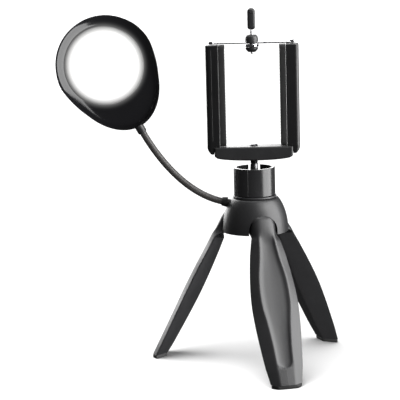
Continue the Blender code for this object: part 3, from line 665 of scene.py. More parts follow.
def spline_point(a, b, c, d, t):
    """Catmull-Rom between b and c."""
    square, cube = 2 * a - 5 * b + 4 * c - d, 3 * b - a - 3 * c + d
    return 0.5 * (2 * b + (c - a) * t + square * t ** 2 + cube * t ** 3)


# ----------------------------------------------------------------------- pieces

def show(name, mesh, finish, body, replaces=(), matrix=None, sharp=38.0, cutters=(), even=True, chamfer=0.0):
    """Adds a piece in the hub frame, cuts it, shades it and makes it ride on its body."""
    piece = new_object(name, mesh)
    mesh.materials.append(finish_named(finish))
    for cutter in cutters:
        carve(piece, cutter)
    if chamfer:
        ease_edges(piece, chamfer)
    if matrix:
        piece.data.transform(matrix)
    piece.matrix_world = HUB
    piece.data.shade_smooth()
    piece.data.set_sharp_from_angle(angle=math.radians(sharp))
    if even:
        piece.modifiers.new("Even normals", "WEIGHTED_NORMAL").keep_sharp = True
    if body:
        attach(piece, body)
    if replaces:
        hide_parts(*replaces)
    return piece


def carve(piece, cutter_mesh):
    """Cuts a piece with a mesh in the piece's own frame."""
    tool = new_object("cutter", cutter_mesh)
    tool.matrix_world = piece.matrix_world
    change = piece.modifiers.new("Cut", "BOOLEAN")
    change.operation = "DIFFERENCE"
    change.object = tool
    settle(piece)
    bpy.data.objects.remove(tool)


def ease_edges(piece, width):
    """Breaks a piece's sharp edges by a width in millimetres."""
    change = piece.modifiers.new("Ease", "BEVEL")
    change.width = mm(width)
    change.segments = 2
    change.limit_method = "ANGLE"
    change.angle_limit = math.radians(50.0)
    settle(piece)


def settle(piece):
    """Turns a piece's modifiers into mesh."""
    bpy.context.view_layer.update()
    seen = piece.evaluated_get(bpy.context.evaluated_depsgraph_get())
    mesh = bpy.data.meshes.new_from_object(seen)
    piece.modifiers.clear()
    piece.data = mesh


def refinish(nodes, finish):
    """Gives CAD nodes whose shape is kept their finish."""
    for name in nodes:
        mesh = frame["nodes"][name].data
        mesh.materials.clear()
        mesh.materials.append(finish_named(finish))


# -------------------------------------------------------------------------- hub

def bell_radius(height):
    """Outer radius of the bell at a height."""
    top, rim, narrow, wide = sized("hub_top_height", "hub_rim_height", "hub_top_radius", "hub_rim_radius")
    share = max(0.0, (top - height) / (top - rim))
    return narrow + (wide - narrow) * math.sin(math.pi / 2 * share ** 0.74)


def leg_azimuths():
    return [FRONT_AZIMUTH + 120.0 * i for i in range(3)]


def bell_mesh():
    top, rim = sized("hub_top_height", "hub_rim_height")
    wall, count = 1.6, 22
    heights = [top - (top - rim) * (i / count) ** 1.4 for i in range(1, count + 1)]
    outer = [(bell_radius(z), z) for z in heights]
    inner = [(bell_radius(z) - wall, z) for z in reversed(heights[6:])]
    ceiling = top - wall
    top_edge = [(BOLT_HOLE_R, top), (bell_radius(top) - 0.9, top), (bell_radius(top) - 0.25, top - 0.12)]
    under = [(16.0, ceiling), (BOLT_HOLE_R, ceiling)]
    return turned_mesh("hub_bell", top_edge + outer + inner + under, loop=True)


def arch_cutters():
    radius, steps = sized("arch_radius"), 40
    cutters = []
    for azimuth in leg_azimuths():
        outline = [(radius * math.cos(a), HINGE_Z + radius * math.sin(a))
                   for a in [math.pi * i / steps for i in range(steps + 1)]]
        outline = [(radius, 100.0)] + outline + [(-radius, 100.0)]
        cutters.append(turned_about_z(outline_mesh("arch", outline, -36.0, -6.0), azimuth))
    return cutters


class STAND_OT_hub(bpy.types.Operator):
    """Bell, washer and neck grommet"""
    bl_idname = "stand.hub"
    bl_label = "Hub"

    def execute(self, context):
        bore = hole((-12, 0, 132.3), (-27, 0, 132.9), sized("neck_radius") + GAP)
        show("hub_bell", bell_mesh(), "satin_black_plastic", "root", ["hub_shell"],
             cutters=arch_cutters() + [bore], chamfer=0.25)
        washer = [(BOLT_HOLE_R, 138.7), (17.6, 138.7), (17.6, 137.1), (BOLT_HOLE_R, 137.1)]
        show("pan_ring", turned_mesh("pan_ring", washer, loop=True, rounding=0.4), "dark_nylon", "root",
             ["pan_washer"])
        start, end = neck_point(7.4), neck_point(10.6)
        collar = [(3.15, 0), (3.15, 4.6), (3.45, 4.6), (3.75, 2.8), (4.1, 0)]
        show("grommet_collar", turned_mesh("grommet", collar, 48, True, 0.2), "black_rubber", "root",
             ["neck_grommet"], aimed(start, end - start))
        return {"FINISHED"}


# ------------------------------------------------------------------------- legs

def station(distance):
    """Half width of the leg and of its panel at a distance from the hinge."""
    rows = [Vector(row) for row in LEG_STATIONS]
    for i in range(1, len(rows) - 2):
        if distance <= rows[i + 1].x or i == len(rows) - 3:
            share = (distance - rows[i].x) / (rows[i + 1].x - rows[i].x)
            share = min(max(share, 0.0), 1.0)
            point = spline_point(rows[i - 1], rows[i], rows[i + 1], rows[i + 2], share)
            return point.y, point.z


def dish_share(distance):
    """How much of its full depth the dish has: it fades in under the leg's head."""
    return min(1.0, max(0.0, distance / 16.0))


def shell_key_points(distance):
    """Corners of the leg's outer shell, with its dished panel, at a distance from the hinge."""
    half, panel = station(distance)
    base, rim = LEG_PLANE + GAP / 2, LEG_PLANE + RIM_H
    depth = sized("dish_depth") * dish_share(distance)
    end_round = 7.0
    past = (distance - (DISH_END - end_round)) / end_round
    if past > 0:
        narrow = math.sqrt(max(0.0, 1.0 - min(past, 1.0) ** 2))
        depth *= min(1.0, narrow * 1.6)
        inner = panel * max(narrow, 0.04)
    else:
        inner = panel
    side = [(-half, base), (-panel - 0.9, rim - 0.15),
            (min(-inner + 0.5, -0.03), rim - 0.05 - 0.25 * depth / 1.5),
            (min(-inner * 0.8 + 0.6, -0.02), rim - 0.75 * depth)]
    other = [(-x, y) for x, y in reversed(side)]
    return side + [(0.0, rim - depth)] + other + [(half / 2, base), (0.0, base), (-half / 2, base)]


def head_key_points(distance):
    """Round head of the leg, fuller on its outer side."""
    past = abs(distance) / (KNUCKLE_R + 0.02)
    share = math.sqrt(max(0.0, 1.0 - past ** 2))
    outward, inward = (LEG_PLANE + RIM_H) * math.sqrt(max(0.0, 1.0 - past ** 4)), KNUCKLE_R * share
    wide = KNUCKLE_R * (share if distance < 0.0 else 1.0)
    if distance > 0.0:
        outward = LEG_PLANE + RIM_H
    keys = []
    for angle in HEAD_ANGLES:
        c, d = math.cos(math.radians(angle)), math.sin(math.radians(angle))
        if angle > 0:
            keys.append((wide * math.copysign(abs(c) ** 0.62, c), outward * d ** 0.62))
        else:
            keys.append((wide * c, inward * d))
    return keys


def shell_ring(distance):
    """Leg outline at a distance, in (across, outward)."""
    blend_end = 14.0
    if distance >= blend_end:
        return fillet(shell_key_points(distance), SHELL_RADII, 5)
    if distance <= 0.0:
        return fillet(head_key_points(distance), [20.0] * 12, 5)
    share = distance / blend_end
    ease = share * share * (3 - 2 * share)
    keys = [(a[0] + (b[0] - a[0]) * ease, a[1] + (b[1] - a[1]) * ease)
            for a, b in zip(head_key_points(distance), shell_key_points(distance))]
    return fillet(keys, [20.0 * (1 - ease) ** 2 + r for r in SHELL_RADII], 5)


def along_leg(section, distance):
    """A leg section set square to the leg at a distance from the hinge."""
    return [(x, -y, -distance) for x, y in section]


def foot_distance(outward, height):
    """How far down the leg a height over the floor lies, at an outward offset."""
    return (HINGE_Z - height + outward * math.sin(SPLAY)) / math.cos(SPLAY)


def at_height(section, height):
    """A leg section slid along the leg until it all stands at one height."""
    return [(x, -y, -foot_distance(y, height)) for x, y in section]


def shell_rings():
    head = [-KNUCKLE_R * math.cos(math.radians(8 + 82 * i / 12)) for i in range(12)]
    body = [1.5 * i for i in range(73)]
    end = [110.0 + 0.5 * i for i in range(23)]
    rings = [along_leg(shell_ring(s), s) for s in head + body + end]
    rings.append(at_height(shell_ring(LEG_END), FOOT_T))
    return rings


def cover_keys(distance):
    """Corners of the leg's inner cover, with its ridge, at a distance from the hinge."""
    half = station(distance)[0]
    base, ridge = LEG_PLANE - GAP / 2, LEG_PLANE - RIDGE_SHARE * half
    return [(-half, base), (0.0, base), (half, base), (half / 2, (base + ridge) / 2), (0.0, ridge),
            (-half / 2, (base + ridge) / 2)]


def cover_rings():
    start, end, count = 14.0, LEG_END - 9.0, 30
    rings = [along_leg(fillet(cover_keys(start), COVER_RADII, 3), start + 0.02)]
    for i in range(count + 1):
        distance = start + (end - start) * i / count
        rings.append(along_leg(fillet(cover_keys(distance), COVER_RADII, 3), distance + 0.05))
    rings.append(at_height(fillet(cover_keys(LEG_END), COVER_RADII, 3), FOOT_T))
    return rings


def foot_rings():
    half = station(LEG_END)[0] - 0.4
    rim, ridge = LEG_PLANE + RIM_H - 0.4, LEG_PLANE - RIDGE_SHARE * half + 0.4
    keys = [(-half, LEG_PLANE), (-half + 4.6, rim), (half - 4.6, rim), (half, LEG_PLANE),
            (half * 0.5, (LEG_PLANE + ridge) / 2), (0, ridge), (-half * 0.5, (LEG_PLANE + ridge) / 2)]
    radii = (1.0, 1.3, 1.3, 1.0, 3.0, 1.2, 3.0)
    # height over the floor, share of the full section
    levels = ((FOOT_T - GAP, 0.97), (2.2, 1.0), (0.9, 1.0), (0.35, 0.985), (0.08, 0.95), (0.0, 0.91))
    rings = []
    for height, share in levels:
        drop = height - FOOT_T
        section = [(x * share, LEG_PLANE + (y - LEG_PLANE) * share) for x, y in fillet(keys, radii, 4)]
        rings.append([(x, -(y + drop * math.sin(SPLAY)), -foot_distance(y, FOOT_T) + drop * math.cos(SPLAY))
                      for x, y in section])
    return rings


class STAND_OT_legs(bpy.types.Operator):
    """Three legs, each with its dished shell, its inner cover and its foot"""
    bl_idname = "stand.legs"
    bl_label = "Legs"

    def execute(self, context):
        for name, azimuth in zip(LEGS, leg_azimuths()):
            turn = math.radians(azimuth)
            hinge = mm((HINGE_R * math.sin(turn), -HINGE_R * math.cos(turn), HINGE_Z))
            place = Matrix.Translation(hinge) @ Euler((-SPLAY, 0, turn)).to_matrix().to_4x4()
            body = "leg_" + name
            show(body + "_outer", lofted_mesh(body + "_outer", shell_rings()), "satin_black_plastic", body,
                 [body + "_shell"], place, sharp=60.0, even=False,
                 cutters=[hole((-14, 0, 0), (14, 0, 0), 1.75)])
            show(body + "_inner", lofted_mesh(body + "_inner", cover_rings()), "satin_black_plastic", body,
                 [body + "_cover"], place, sharp=50.0, even=False)
            show(body + "_foot", lofted_mesh(body + "_foot", foot_rings()), "black_rubber", body,
                 ["foot_" + name], place, sharp=50.0, even=False)
        return {"FINISHED"}


# --------------------------------------------------------------------- pan head

def ball_height(radius, side):
    """Height of the ball's clearance sphere at a radius, over (1) or under (-1) its middle."""
    return BALL_Z + side * math.sqrt((BALL_R + GAP) ** 2 - radius ** 2)


class STAND_OT_head(bpy.types.Operator):
    """Drum with its notch, the ring that holds the ball, and the ball with its stem"""
    bl_idname = "stand.head"
    bl_label = "Pan head"

    def execute(self, context):
        outer, bore, notch = sized("drum_radius", "drum_bore", "notch_radius")
        low, high, floor_z = 139.0, 161.6, 140.6
        wall = [(BOLT_HOLE_R, low), (BOLT_HOLE_R, floor_z), (bore, floor_z), (bore, high), (outer, high),
                (outer, low)]
        slit = [(notch * math.cos(a), BALL_Z + notch * math.sin(a)) for a in
                [math.pi + math.pi * i / 24 for i in range(25)]] + [(notch, 168.0), (-notch, 168.0)]
        show("drum", turned_mesh("drum", wall, loop=True, rounding=0.45), "polished_black_plastic", "head",
             ["pan_drum"], cutters=[outline_mesh("slit", slit, 5.0, 22.0)], chamfer=0.2)
        seam = block_mesh("drum_seam", (-0.22, -outer - 0.16, low + 0.6), (0.22, -outer + 0.5, high - 0.6),
                          0.1, 1)
        show("drum_seam", turned_about_z(seam, -18.8), "satin_black_plastic", "head")
        wide, base, top = bore - GAP, 153.2, 157.4
        bite = [(r, ball_height(r, 1)) for r in (5.3, 5.6, 6.0, 6.3, 6.6)]
        edge = math.sqrt((BALL_R + GAP) ** 2 - (base - BALL_Z) ** 2)
        ring = [(wide - 1.5, top), (wide, top - 1.5), (wide, base), (edge, base)] + bite[::-1] + [(6.4, top)]
        mouth = block_mesh("mouth", (-4.1, 0, base - 3), (4.1, 20, top + 3), 0.0)
        show("ball_ring", turned_mesh("ball_ring", ring, loop=True), "matte_black_plastic", "head",
             ["ball_collar"], cutters=[mouth])
        self.ball_stud()
        return {"FINISHED"}

    def ball_stud(self):
        """Ball and stem in one piece; a rolled thread runs over the top of the stem."""
        join, steps = math.asin(STEM_R / BALL_R), 40
        arc = [join + (math.pi - join) * i / steps for i in range(steps + 1)]
        top, thread_top, thread_low, pitch = 180.3, 179.5, 164.5, 1.27
        depths = (0.0, 0.22, 0.45, 0.22)
        profile = [(0, top), (STEM_R - 0.7, top), (STEM_R - 0.2, top - 0.5)]
        for i in range(int((thread_top - thread_low) / (pitch / 4))):
            profile.append((STEM_R - depths[i % 4], thread_top - i * pitch / 4))
        profile += [(STEM_R, thread_low - 0.4)]
        profile += [(BALL_R * math.sin(a), BALL_Z + BALL_R * math.cos(a)) for a in arc[:-1]]
        show("stud", turned_mesh("stud", profile + [(0, BALL_Z - BALL_R)], 64), "dark_steel", "ball",
             ["ball_stud"], even=False, sharp=60.0)


# ------------------------------------------------------------------------ clamp

def half_turn(mesh, side):
    """The left-hand mesh as drawn, or turned half round the stem for the right hand."""
    if side > 0:
        mesh.transform(Matrix.Rotation(math.pi, 4, "Z"))
    return mesh


class STAND_OT_clamp_bar(bpy.types.Operator):
    """Boat-shaped bar that the two jaws slide in"""
    bl_idname = "stand.clamp_bar"
    bl_label = "Clamp bar"

    def execute(self, context):
        half_x, half_y, end_z, bottom_z = 31.6, 8.0, 171.4, 167.6
        keel = [(half_x * math.cos(a), end_z + (bottom_z - end_z) * math.sin(a) ** 0.8)
                for a in [math.radians(20 + 10 * i) for i in range(15)]]
        corners = [(half_x, BAR_TOP_Z), (half_x, end_z)] + keel + [(-half_x, end_z), (-half_x, BAR_TOP_Z)]
        radii = [1.0, 0.7] + [0.6] * len(keel) + [0.7, 1.0]
        channel = block_mesh("channel", (-40, -6.1, 172.2), (40, 6.1, 177.2), 0.0)
        stem = hole((0, 0, 160), (0, 0, 190), STEM_R + GAP)
        insert = hole((0, 0, 160), (0, 0, 171.6), 5.2)
        show("phone_rest_bar", outline_mesh("phone_rest_bar", corners, -half_y, half_y, radii, 1.4),
             "satin_black_plastic", "clamp", ["clamp_bar"], cutters=[channel, stem, insert], sharp=30.0)
        refinish(["stem_insert"], "brass")
        return {"FINISHED"}


class STAND_OT_jaws(bpy.types.Operator):
    """Two sprung jaws with their pads, cross wires, clips and springs"""
    bl_idname = "stand.jaws"
    bl_label = "Jaws"

    def execute(self, context):
        for name, side in zip(SIDES, (-1, 1)):
            body = "jaw_" + name
            self.arm(body, side)
            self.pad(body, side)
            wire = rod(body + "_cross_wire", (-32.6, -WIRE_Y, WIRE_Z), (31.2, -WIRE_Y, WIRE_Z), WIRE_R,
                       0.3, 24)
            show(body + "_cross_wire", half_turn(wire, side), "bright_chrome", body, [body + "_wire"])
            clip = block_mesh("clip", (-34.4, -WIRE_Y - 2.2, JAW_TOP_Z + GAP),
                              (-30.4, -WIRE_Y + 2.2, WIRE_Z + 1.9), 0.9, 4)
            bore = hole((-36, -WIRE_Y, WIRE_Z), (-28, -WIRE_Y, WIRE_Z), WIRE_R + GAP)
            show(body + "_wire_clip", half_turn(clip, side), "nickel_steel", body, ["wire_clip_" + name],
                 cutters=[half_turn(bore, side)])
            self.spring(body, side)
            refinish([body + "_rail"], "nickel_steel")
        return {"FINISHED"}

    def arm(self, body, side):
        """Moulded jaw, rounded at its outer corners, with a bead down its front."""
        outer, core, foot, shoulder = -37.4, -27.2, -31.7, BAR_TOP_Z + GAP
        # height, outer side, inner side, inset
        rows = [(173.0, -34.6, foot, 0.5), (173.4, -34.9, foot, 0.15), (175.0, -36.1, foot, 0.0),
                (176.8, -37.1, foot, 0.0), (178.4, outer, foot, 0.0), (shoulder, outer, foot, 0.0),
                (shoulder, outer, core, 0.0)]
        span = JAW_TOP_Z - 1.2 - shoulder
        rows += [(shoulder + span * i / 8, outer, core, 0.0) for i in range(1, 9)]
        rows += [(JAW_TOP_Z - 0.5, outer, core, 0.2), (JAW_TOP_Z - 0.1, outer, core, 0.65),
                 (JAW_TOP_Z, outer, core, 1.2)]
        rings = []
        for z, left, right, inset in rows:
            x0, x1, y = left + inset, right - min(inset, 0.3), JAW_HALF_Y - inset
            wide = min(3.6, (x1 - x0) * 0.7)
            section = fillet([(x0, -y), (x1, -y), (x1, y), (x0, y)], [wide, 0.4, 0.4, wide], 7)
            rings.append([(*point, z) for point in section])
        mesh = lofted_mesh(body + "_shell", rings)
        show(body + "_shell", half_turn(mesh, side), "matte_black_plastic", body, [body + "_arm"], sharp=30.0)
        bead = block_mesh("bead", (outer + 4.4, -JAW_HALF_Y - 0.12, 184.0),
                          (outer + 4.8, -JAW_HALF_Y + 0.4, JAW_TOP_Z - 4.0), 0.1, 1)
        show(body + "_bead", half_turn(bead, side), "matte_black_plastic", body)

    def pad(self, body, side):
        """Rubber pad: a shallow V along it, crossed by fine grip ribs."""
        back, face, lip, half = -26.9, -21.9, 1.7, JAW_HALF_Y - 0.4
        low, high = BAR_TOP_Z + 0.9, JAW_TOP_Z - 0.6
        pitch = sized("pad_rib_pitch")
        count = int((high - low - 6.0) / pitch) * 6
        heights = [low, low + 0.5] + [low + 3.0 + (high - low - 6.0) * i / count for i in range(count + 1)]
        rings = []
        for z in heights + [high - 0.5, high]:
            inside = low + 3.0 <= z <= high - 3.0
            rib = 0.3 * (0.5 - 0.5 * math.cos(TAU * (z - low - 3.0) / pitch)) ** 2 if inside else 0.0
            inset = 0.45 if z in (low, high) else 0.0
            front = face - rib - inset
            keys = [(back, -half + inset), (front, -half + inset), (front, -half + 1.3), (front - lip, 0.0),
                    (front, half - 1.3), (front, half - inset), (back, half - inset)]
            rings.append([(x, y, z) for x, y in fillet(keys, [0.3, 0.7, 0.4, 1.5, 0.4, 0.7, 0.3], 3)])
        mesh = half_turn(lofted_mesh(body + "_grip_pad", rings), side)
        show(body + "_grip_pad", mesh, "black_rubber", body, [body + "_pad"], sharp=50.0, even=False)

    def spring(self, body, side):
        """Coil spring that runs from the stem to the jaw."""
        start, end, coil, thick, turns = -4.3, -30.8, 1.75, 0.32, 16
        per_turn, around = 20, 8
        rings = []
        for i in range(turns * per_turn + 1):
            angle = TAU * i / per_turn
            x = start + (end - start) * i / (turns * per_turn)
            centre = Vector((x, coil * math.cos(angle), CHANNEL_MIDDLE_Z + coil * math.sin(angle)))
            out = Vector((0.0, math.cos(angle), math.sin(angle)))
            rings.append([centre + out * thick * math.cos(TAU * k / around)
                          + Vector((thick * math.sin(TAU * k / around), 0, 0)) for k in range(around)])
        mesh = half_turn(lofted_mesh(body + "_coil", rings), side)
        piece = show(body + "_coil", mesh, "nickel_steel", None, [body + "_spring"], even=False, sharp=70.0)
        ends = [HUB @ mm((-side * x, 0, CHANNEL_MIDDLE_Z)) for x in (start, end)]
        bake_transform(piece)


class STAND_OT_width_lock(bpy.types.Operator):
    """Knuckle on the cross wires, its bright band, and the thumb screw"""
    bl_idname = "stand.width_lock"
    bl_label = "Width lock"

    def execute(self, context):
        place = moved((0, 0, WIRE_Z))
        bore = 1.5
        cap = [(bore, 6.4), (3.4, 6.4), (4.9, 4.9), (5.35, 2.5), (5.35, -0.6), (bore, -0.6)]
        grooves = [hole((-9, side * WIRE_Y, 0), (9, side * WIRE_Y, 0), WIRE_R + GAP) for side in (-1, 1)]
        show("lock_cap", turned_mesh("lock_cap", cap, 72, True, 0.7), "satin_black_plastic", "knuckle",
             ["knuckle_cap"], place, cutters=grooves)
        band = [(bore, -0.9), (5.2, -0.9), (5.6, -1.3), (5.6, -3.0), (5.2, -3.4), (bore, -3.4)]
        show("lock_band", turned_mesh("lock_band", band, 72, True, 0.3), "bright_chrome", "knuckle",
             ["knuckle_band"], place)
        base = [(bore, -3.7), (5.2, -3.7), (4.9, -5.4), (3.0, -7.5), (bore, -7.5)]
        show("lock_base", turned_mesh("lock_base", base, 72, True, 0.6), "satin_black_plastic", "knuckle",
             ["knuckle_base"], place)
        self.screw(place)
        dimple = hole((0, -4.0, 24.6), (0, -1.9, 24.6), 1.35)
        show("thumb_key", self.grip_mesh(), "satin_black_plastic", "thumb_screw", ["thumb_grip"], place,
             cutters=[dimple], sharp=45.0)
        disc = rod("thumb_key_rivet", (0, -1.85, 24.6), (0, -2.15, 24.6), 1.1, 0.12)
        show("thumb_key_rivet", disc, "nickel_steel", "thumb_screw", (), place)
        return {"FINISHED"}

    def screw(self, place):
        """Thumb screw with a rolled thread and a plain tip."""
        radius, top, tip, pitch = 1.2, 9.9, -9.0, 0.5
        profile = [(0, top), (radius, top)]
        count = int((top + 8.0) / (pitch / 2))
        profile += [(radius - 0.16 * (i % 2), top - 0.3 - i * pitch / 2) for i in range(count)]
        profile += [(0.6, tip), (0, tip)]
        show("lock_screw", turned_mesh("lock_screw", profile, 32), "nickel_steel", "thumb_screw",
             ["thumb_screw"], place, sharp=70.0, even=False)

    def grip_mesh(self):
        """Flat key, rounded in outline and pillowed in section."""
        half_x, half_y, low, high, neck = 3.2, 2.6, 10.2, 27.5, 2.2
        steps, around, squareness = 40, 32, 0.62
        rings = []
        for i in range(steps + 1):
            share = i / steps
            z = low + (high - low) * share
            near_end = min((z - low) / neck, (high - z) / 3.1, 1.0)
            swell = math.sqrt(max(0.0, 1.0 - (1.0 - near_end) ** 2))
            wide, deep = half_x * max(swell, 0.3), half_y * max(swell, 0.3) * (0.9 + 0.1 * share)
            ring = []
            for k in range(around):
                c, s = math.cos(TAU * k / around), math.sin(TAU * k / around)
                ring.append((wide * math.copysign(abs(c) ** squareness, c),
                             deep * math.copysign(abs(s) ** squareness, s), z))
            rings.append(ring)
        return lofted_mesh("thumb_key", rings)


# ------------------------------------------------------------------------- neck

def neck_samples():
    """Evenly spaced points along the neck."""
    fine = geometry.interpolate_bezier(NECK_ENDS[0], *NECK_HANDLES, NECK_ENDS[1], 2400)
    samples, walked = [fine[0]], 0.0
    for before, after in zip(fine, fine[1:]):
        walked += (after - before).length
        while walked >= NECK_STEP * len(samples):
            samples.append(after)
    return samples


NECK_SAMPLES = neck_samples()


def neck_point(distance):
    """A point on the neck's middle line; past the last sample it runs on straight."""
    last = (len(NECK_SAMPLES) - 1) * NECK_STEP
    if distance > last:
        ahead = (NECK_SAMPLES[-1] - NECK_SAMPLES[-21]).normalized()
        return NECK_SAMPLES[-1] + ahead * (distance - last)
    index = max(distance, 0.0) / NECK_STEP
    low = min(int(index), len(NECK_SAMPLES) - 2)
    return NECK_SAMPLES[low].lerp(NECK_SAMPLES[low + 1], index - low)


def neck_direction(distance):
    return (neck_point(distance + 1.0) - neck_point(max(distance, 1.0) - 1.0)).normalized()


def sleeve_rings(start, end):
    """Rings of the ribbed sleeve: a round rib wound along it as one long helix."""
    radius, pitch, depth = sized("neck_radius", "rib_pitch", "rib_depth")
    around, spacing = 24, 0.2
    count = int(round((end - start) / spacing))
    rings = []
    for i in range(count + 1):
        at = start + (end - start) * i / count
        centre, ahead = neck_point(at), neck_direction(at)
        side = Vector((0.0, 1.0, 0.0))
        up = ahead.cross(side)
        ring = []
        for k in range(around):
            angle = TAU * k / around
            wave = abs(math.sin(math.pi * (at / pitch) - angle / 2))
            out = radius - depth * (1.0 - wave) ** 1.5
            ring.append(centre + (side * math.cos(angle) + up * math.sin(angle)) * out)
        rings.append(ring)
    return rings


class STAND_OT_neck(bpy.types.Operator):
    """Ribbed neck sleeve, in four stretches, and its ferrule"""
    bl_idname = "stand.neck"
    bl_label = "Neck"

    def execute(self, context):
        middles = [(a + b) / 2 for a, b in zip(NECK_BENDS, NECK_BENDS[1:])]
        limits = [0.0] + middles + [NECK_LENGTH]
        nodes = (["neck_root", "neck_lower"], ["neck_middle"], ["neck_upper"], [])
        for i, bend in enumerate(NECK_BENDS):
            name = "neck_sleeve_%d" % (i + 1)
            piece = show(name, lofted_mesh(name, sleeve_rings(limits[i], limits[i + 1])), "neck_sleeve", None,
                         nodes[i], sharp=80.0, even=False)
            reach = min(BEND_REACH, bend - limits[i] - 0.5, limits[i + 1] - bend - 0.5)
            ends = [HUB @ mm(neck_point(bend + offset)) for offset in (-reach, reach)]
            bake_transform(piece)
        ahead = neck_direction(NECK_BENDS[-1])
        foot = neck_point(NECK_BENDS[-1]) + ahead * 3.0
        bore, outer = 2.95, 3.7
        cup = [(bore, 0), (outer - 0.3, 0), (outer, 1.4), (outer, 6.6), (bore, 6.6)]
        show("neck_cup", turned_mesh("neck_cup", cup, 56, True, 0.4), "satin_black_plastic", "lamp",
             ["lamp_ferrule"], aimed(foot, ahead))
        return {"FINISHED"}


# ------------------------------------------------------------------------- lamp

def egg_ring(scale, height, inset=0.0, count=96):
    """The lamp outline at a scale, pulled in by an inset, at a height over the split line."""
    ring = []
    for i in range(count):
        angle = TAU * i / count
        along, across = math.cos(angle), math.sin(angle)
        slim = 1.0 - EGG_SLIM * min(1.0, 2.0 * max(along, 0.0))
        reach = (EGG_TIP if along > 0.0 else EGG_R) * scale - inset
        ring.append((across * slim * (EGG_R * scale - inset), -along * reach, height))
    return ring


def disc_ring(radius, height, count=96):
    """A circle about the lens, with its points in step with the egg's."""
    return [(radius * math.sin(TAU * i / count), LENS_Y - radius * math.cos(TAU * i / count), height)
            for i in range(count)]


class STAND_OT_lamp(bpy.types.Operator):
    """Lamp head: polished front ring and rear shell, lit disc, button and charging socket"""
    bl_idname = "stand.lamp"
    bl_label = "Lamp head"

    def execute(self, context):
        self.front()
        self.rear()
        self.disc()
        button = fillet([(0, -15.3), (3.95, -15.3), (3.95, -11.0), (5.0, -11.0), (5.0, -9.6), (0, -9.6)],
                        [0.5, 0.7, 0.1, 0.2, 0.2, 0.2], 4, False)
        show("light_button", turned_mesh("light_button", button, 56), "matte_black_plastic", "power_button",
             ["power_button"], LAMP @ moved((0, -8, 0)))
        refinish(["usb_socket"], "nickel_steel")
        return {"FINISHED"}

    def front(self):
        """Domed front ring, from the split line to the lens and back under it."""
        lens = sized("lens_radius")
        dome = [egg_ring(1.0, 0.0), egg_ring(0.995, 1.6), egg_ring(0.975, 3.8), egg_ring(0.935, 5.9),
                egg_ring(0.88, 7.5), disc_ring(lens + 2.0, 8.9), disc_ring(lens + 0.8, 9.15)]
        rings = smooth_path(dome, 5)
        rings += [disc_ring(lens + GAP, 8.9), disc_ring(lens + GAP, 6.5), disc_ring(lens + 3.0, 6.5),
                  egg_ring(0.93, 3.4), egg_ring(1.0, 0.0, 1.8)]
        show("lamp_front_ring", lofted_mesh("lamp_front_ring", rings, True), "gloss_black_plastic", "lamp",
             ["lamp_bezel"], LAMP, sharp=50.0, even=False)

    def rear(self):
        """Rear shell with its wall, the hole for the button and the port for the socket."""
        back = [egg_ring(1.0, -GAP), egg_ring(0.99, -4.0), egg_ring(0.94, -8.5), egg_ring(0.85, -11.9),
                egg_ring(0.70, -13.7), egg_ring(0.52, -14.0)]
        inner = [egg_ring(0.52, -12.2), egg_ring(0.70, -11.9), egg_ring(0.85, -10.4, 1.3),
                 egg_ring(0.94, -7.0, 1.3), egg_ring(0.99, -4.0, 1.8), egg_ring(1.0, -GAP, 1.8)]
        closing = [egg_ring(s, -14.0) for s in (0.34, 0.16)]
        rings = smooth_path(back, 4) + closing
        lid = [egg_ring(s, -12.2) for s in (0.16, 0.34)]
        button_hole = hole((0, -8, -18), (0, -8, -8), 4.3, 48)
        port = block_mesh("port", (-4.9, -23.9, -18), (4.9, -20.1, -9), 1.2, 3)
        show("lamp_back", self.shell(rings, lid + inner), "gloss_black_plastic", "lamp",
             ["lamp_rear_shell"], LAMP, sharp=40.0, even=False, cutters=[button_hole, port])

    def shell(self, outside, inside):
        """A closed skin: outside rings to the back's middle, then inside rings back to the split line."""

        def build(work):
            rows = [[work.verts.new(mm(p)) for p in ring] for ring in outside + inside]
            count, turn = len(rows[0]), len(outside)
            for k in range(len(rows)):
                first, second = rows[k], rows[(k + 1) % len(rows)]
                if k == turn - 1:
                    work.faces.new(first)
                    work.faces.new(second[::-1])
                    continue
                for i in range(count):
                    j = (i + 1) % count
                    work.faces.new((first[i], first[j], second[j], second[i]))

        return new_mesh("lamp_back", build)

    def disc(self):
        """Lit disc, slightly crowned, with a flange behind the front ring."""
        lens = sized("lens_radius")
        crown = [(0, 9.9)] + [(lens * 0.97 * i / 20, 9.9 - 1.2 * (i / 20) ** 2.4) for i in range(1, 21)]
        profile = crown + [(lens - 0.2, 8.4), (lens, 7.9), (lens, 6.2), (32.6, 6.2), (32.6, 5.0), (0, 5.0)]
        mesh = turned_mesh("lit_disc", profile, 128)
        mesh.transform(moved((0, LENS_Y, 0)))
        show("lit_disc", mesh, "opal_diffuser", "lamp", ["diffuser"], LAMP, sharp=50.0, even=False)


class STAND_OT_inner_works(bpy.types.Operator):
    """Finishes for the pieces inside the hub, the drum and the lamp head"""
    bl_idname = "stand.inner_works"
    bl_label = "Inner works"

    def execute(self, context):
        refinish(["hub_carrier", "hub_cap"], "matte_black_plastic")
        refinish(["hinge_pin_" + name for name in LEGS] + ["pan_bolt", "pan_nut"], "nickel_steel")
        refinish(["ball_seat"], "dark_nylon")
        refinish(["reflector_ring"], "white_plastic")
        refinish(["led_board", "control_board"], "circuit_board")
        refinish(["led_ring"], "led_phosphor")
        refinish(["battery"], "battery_foil")
        return {"FINISHED"}


# ------------------------------------------------------------------------ stage

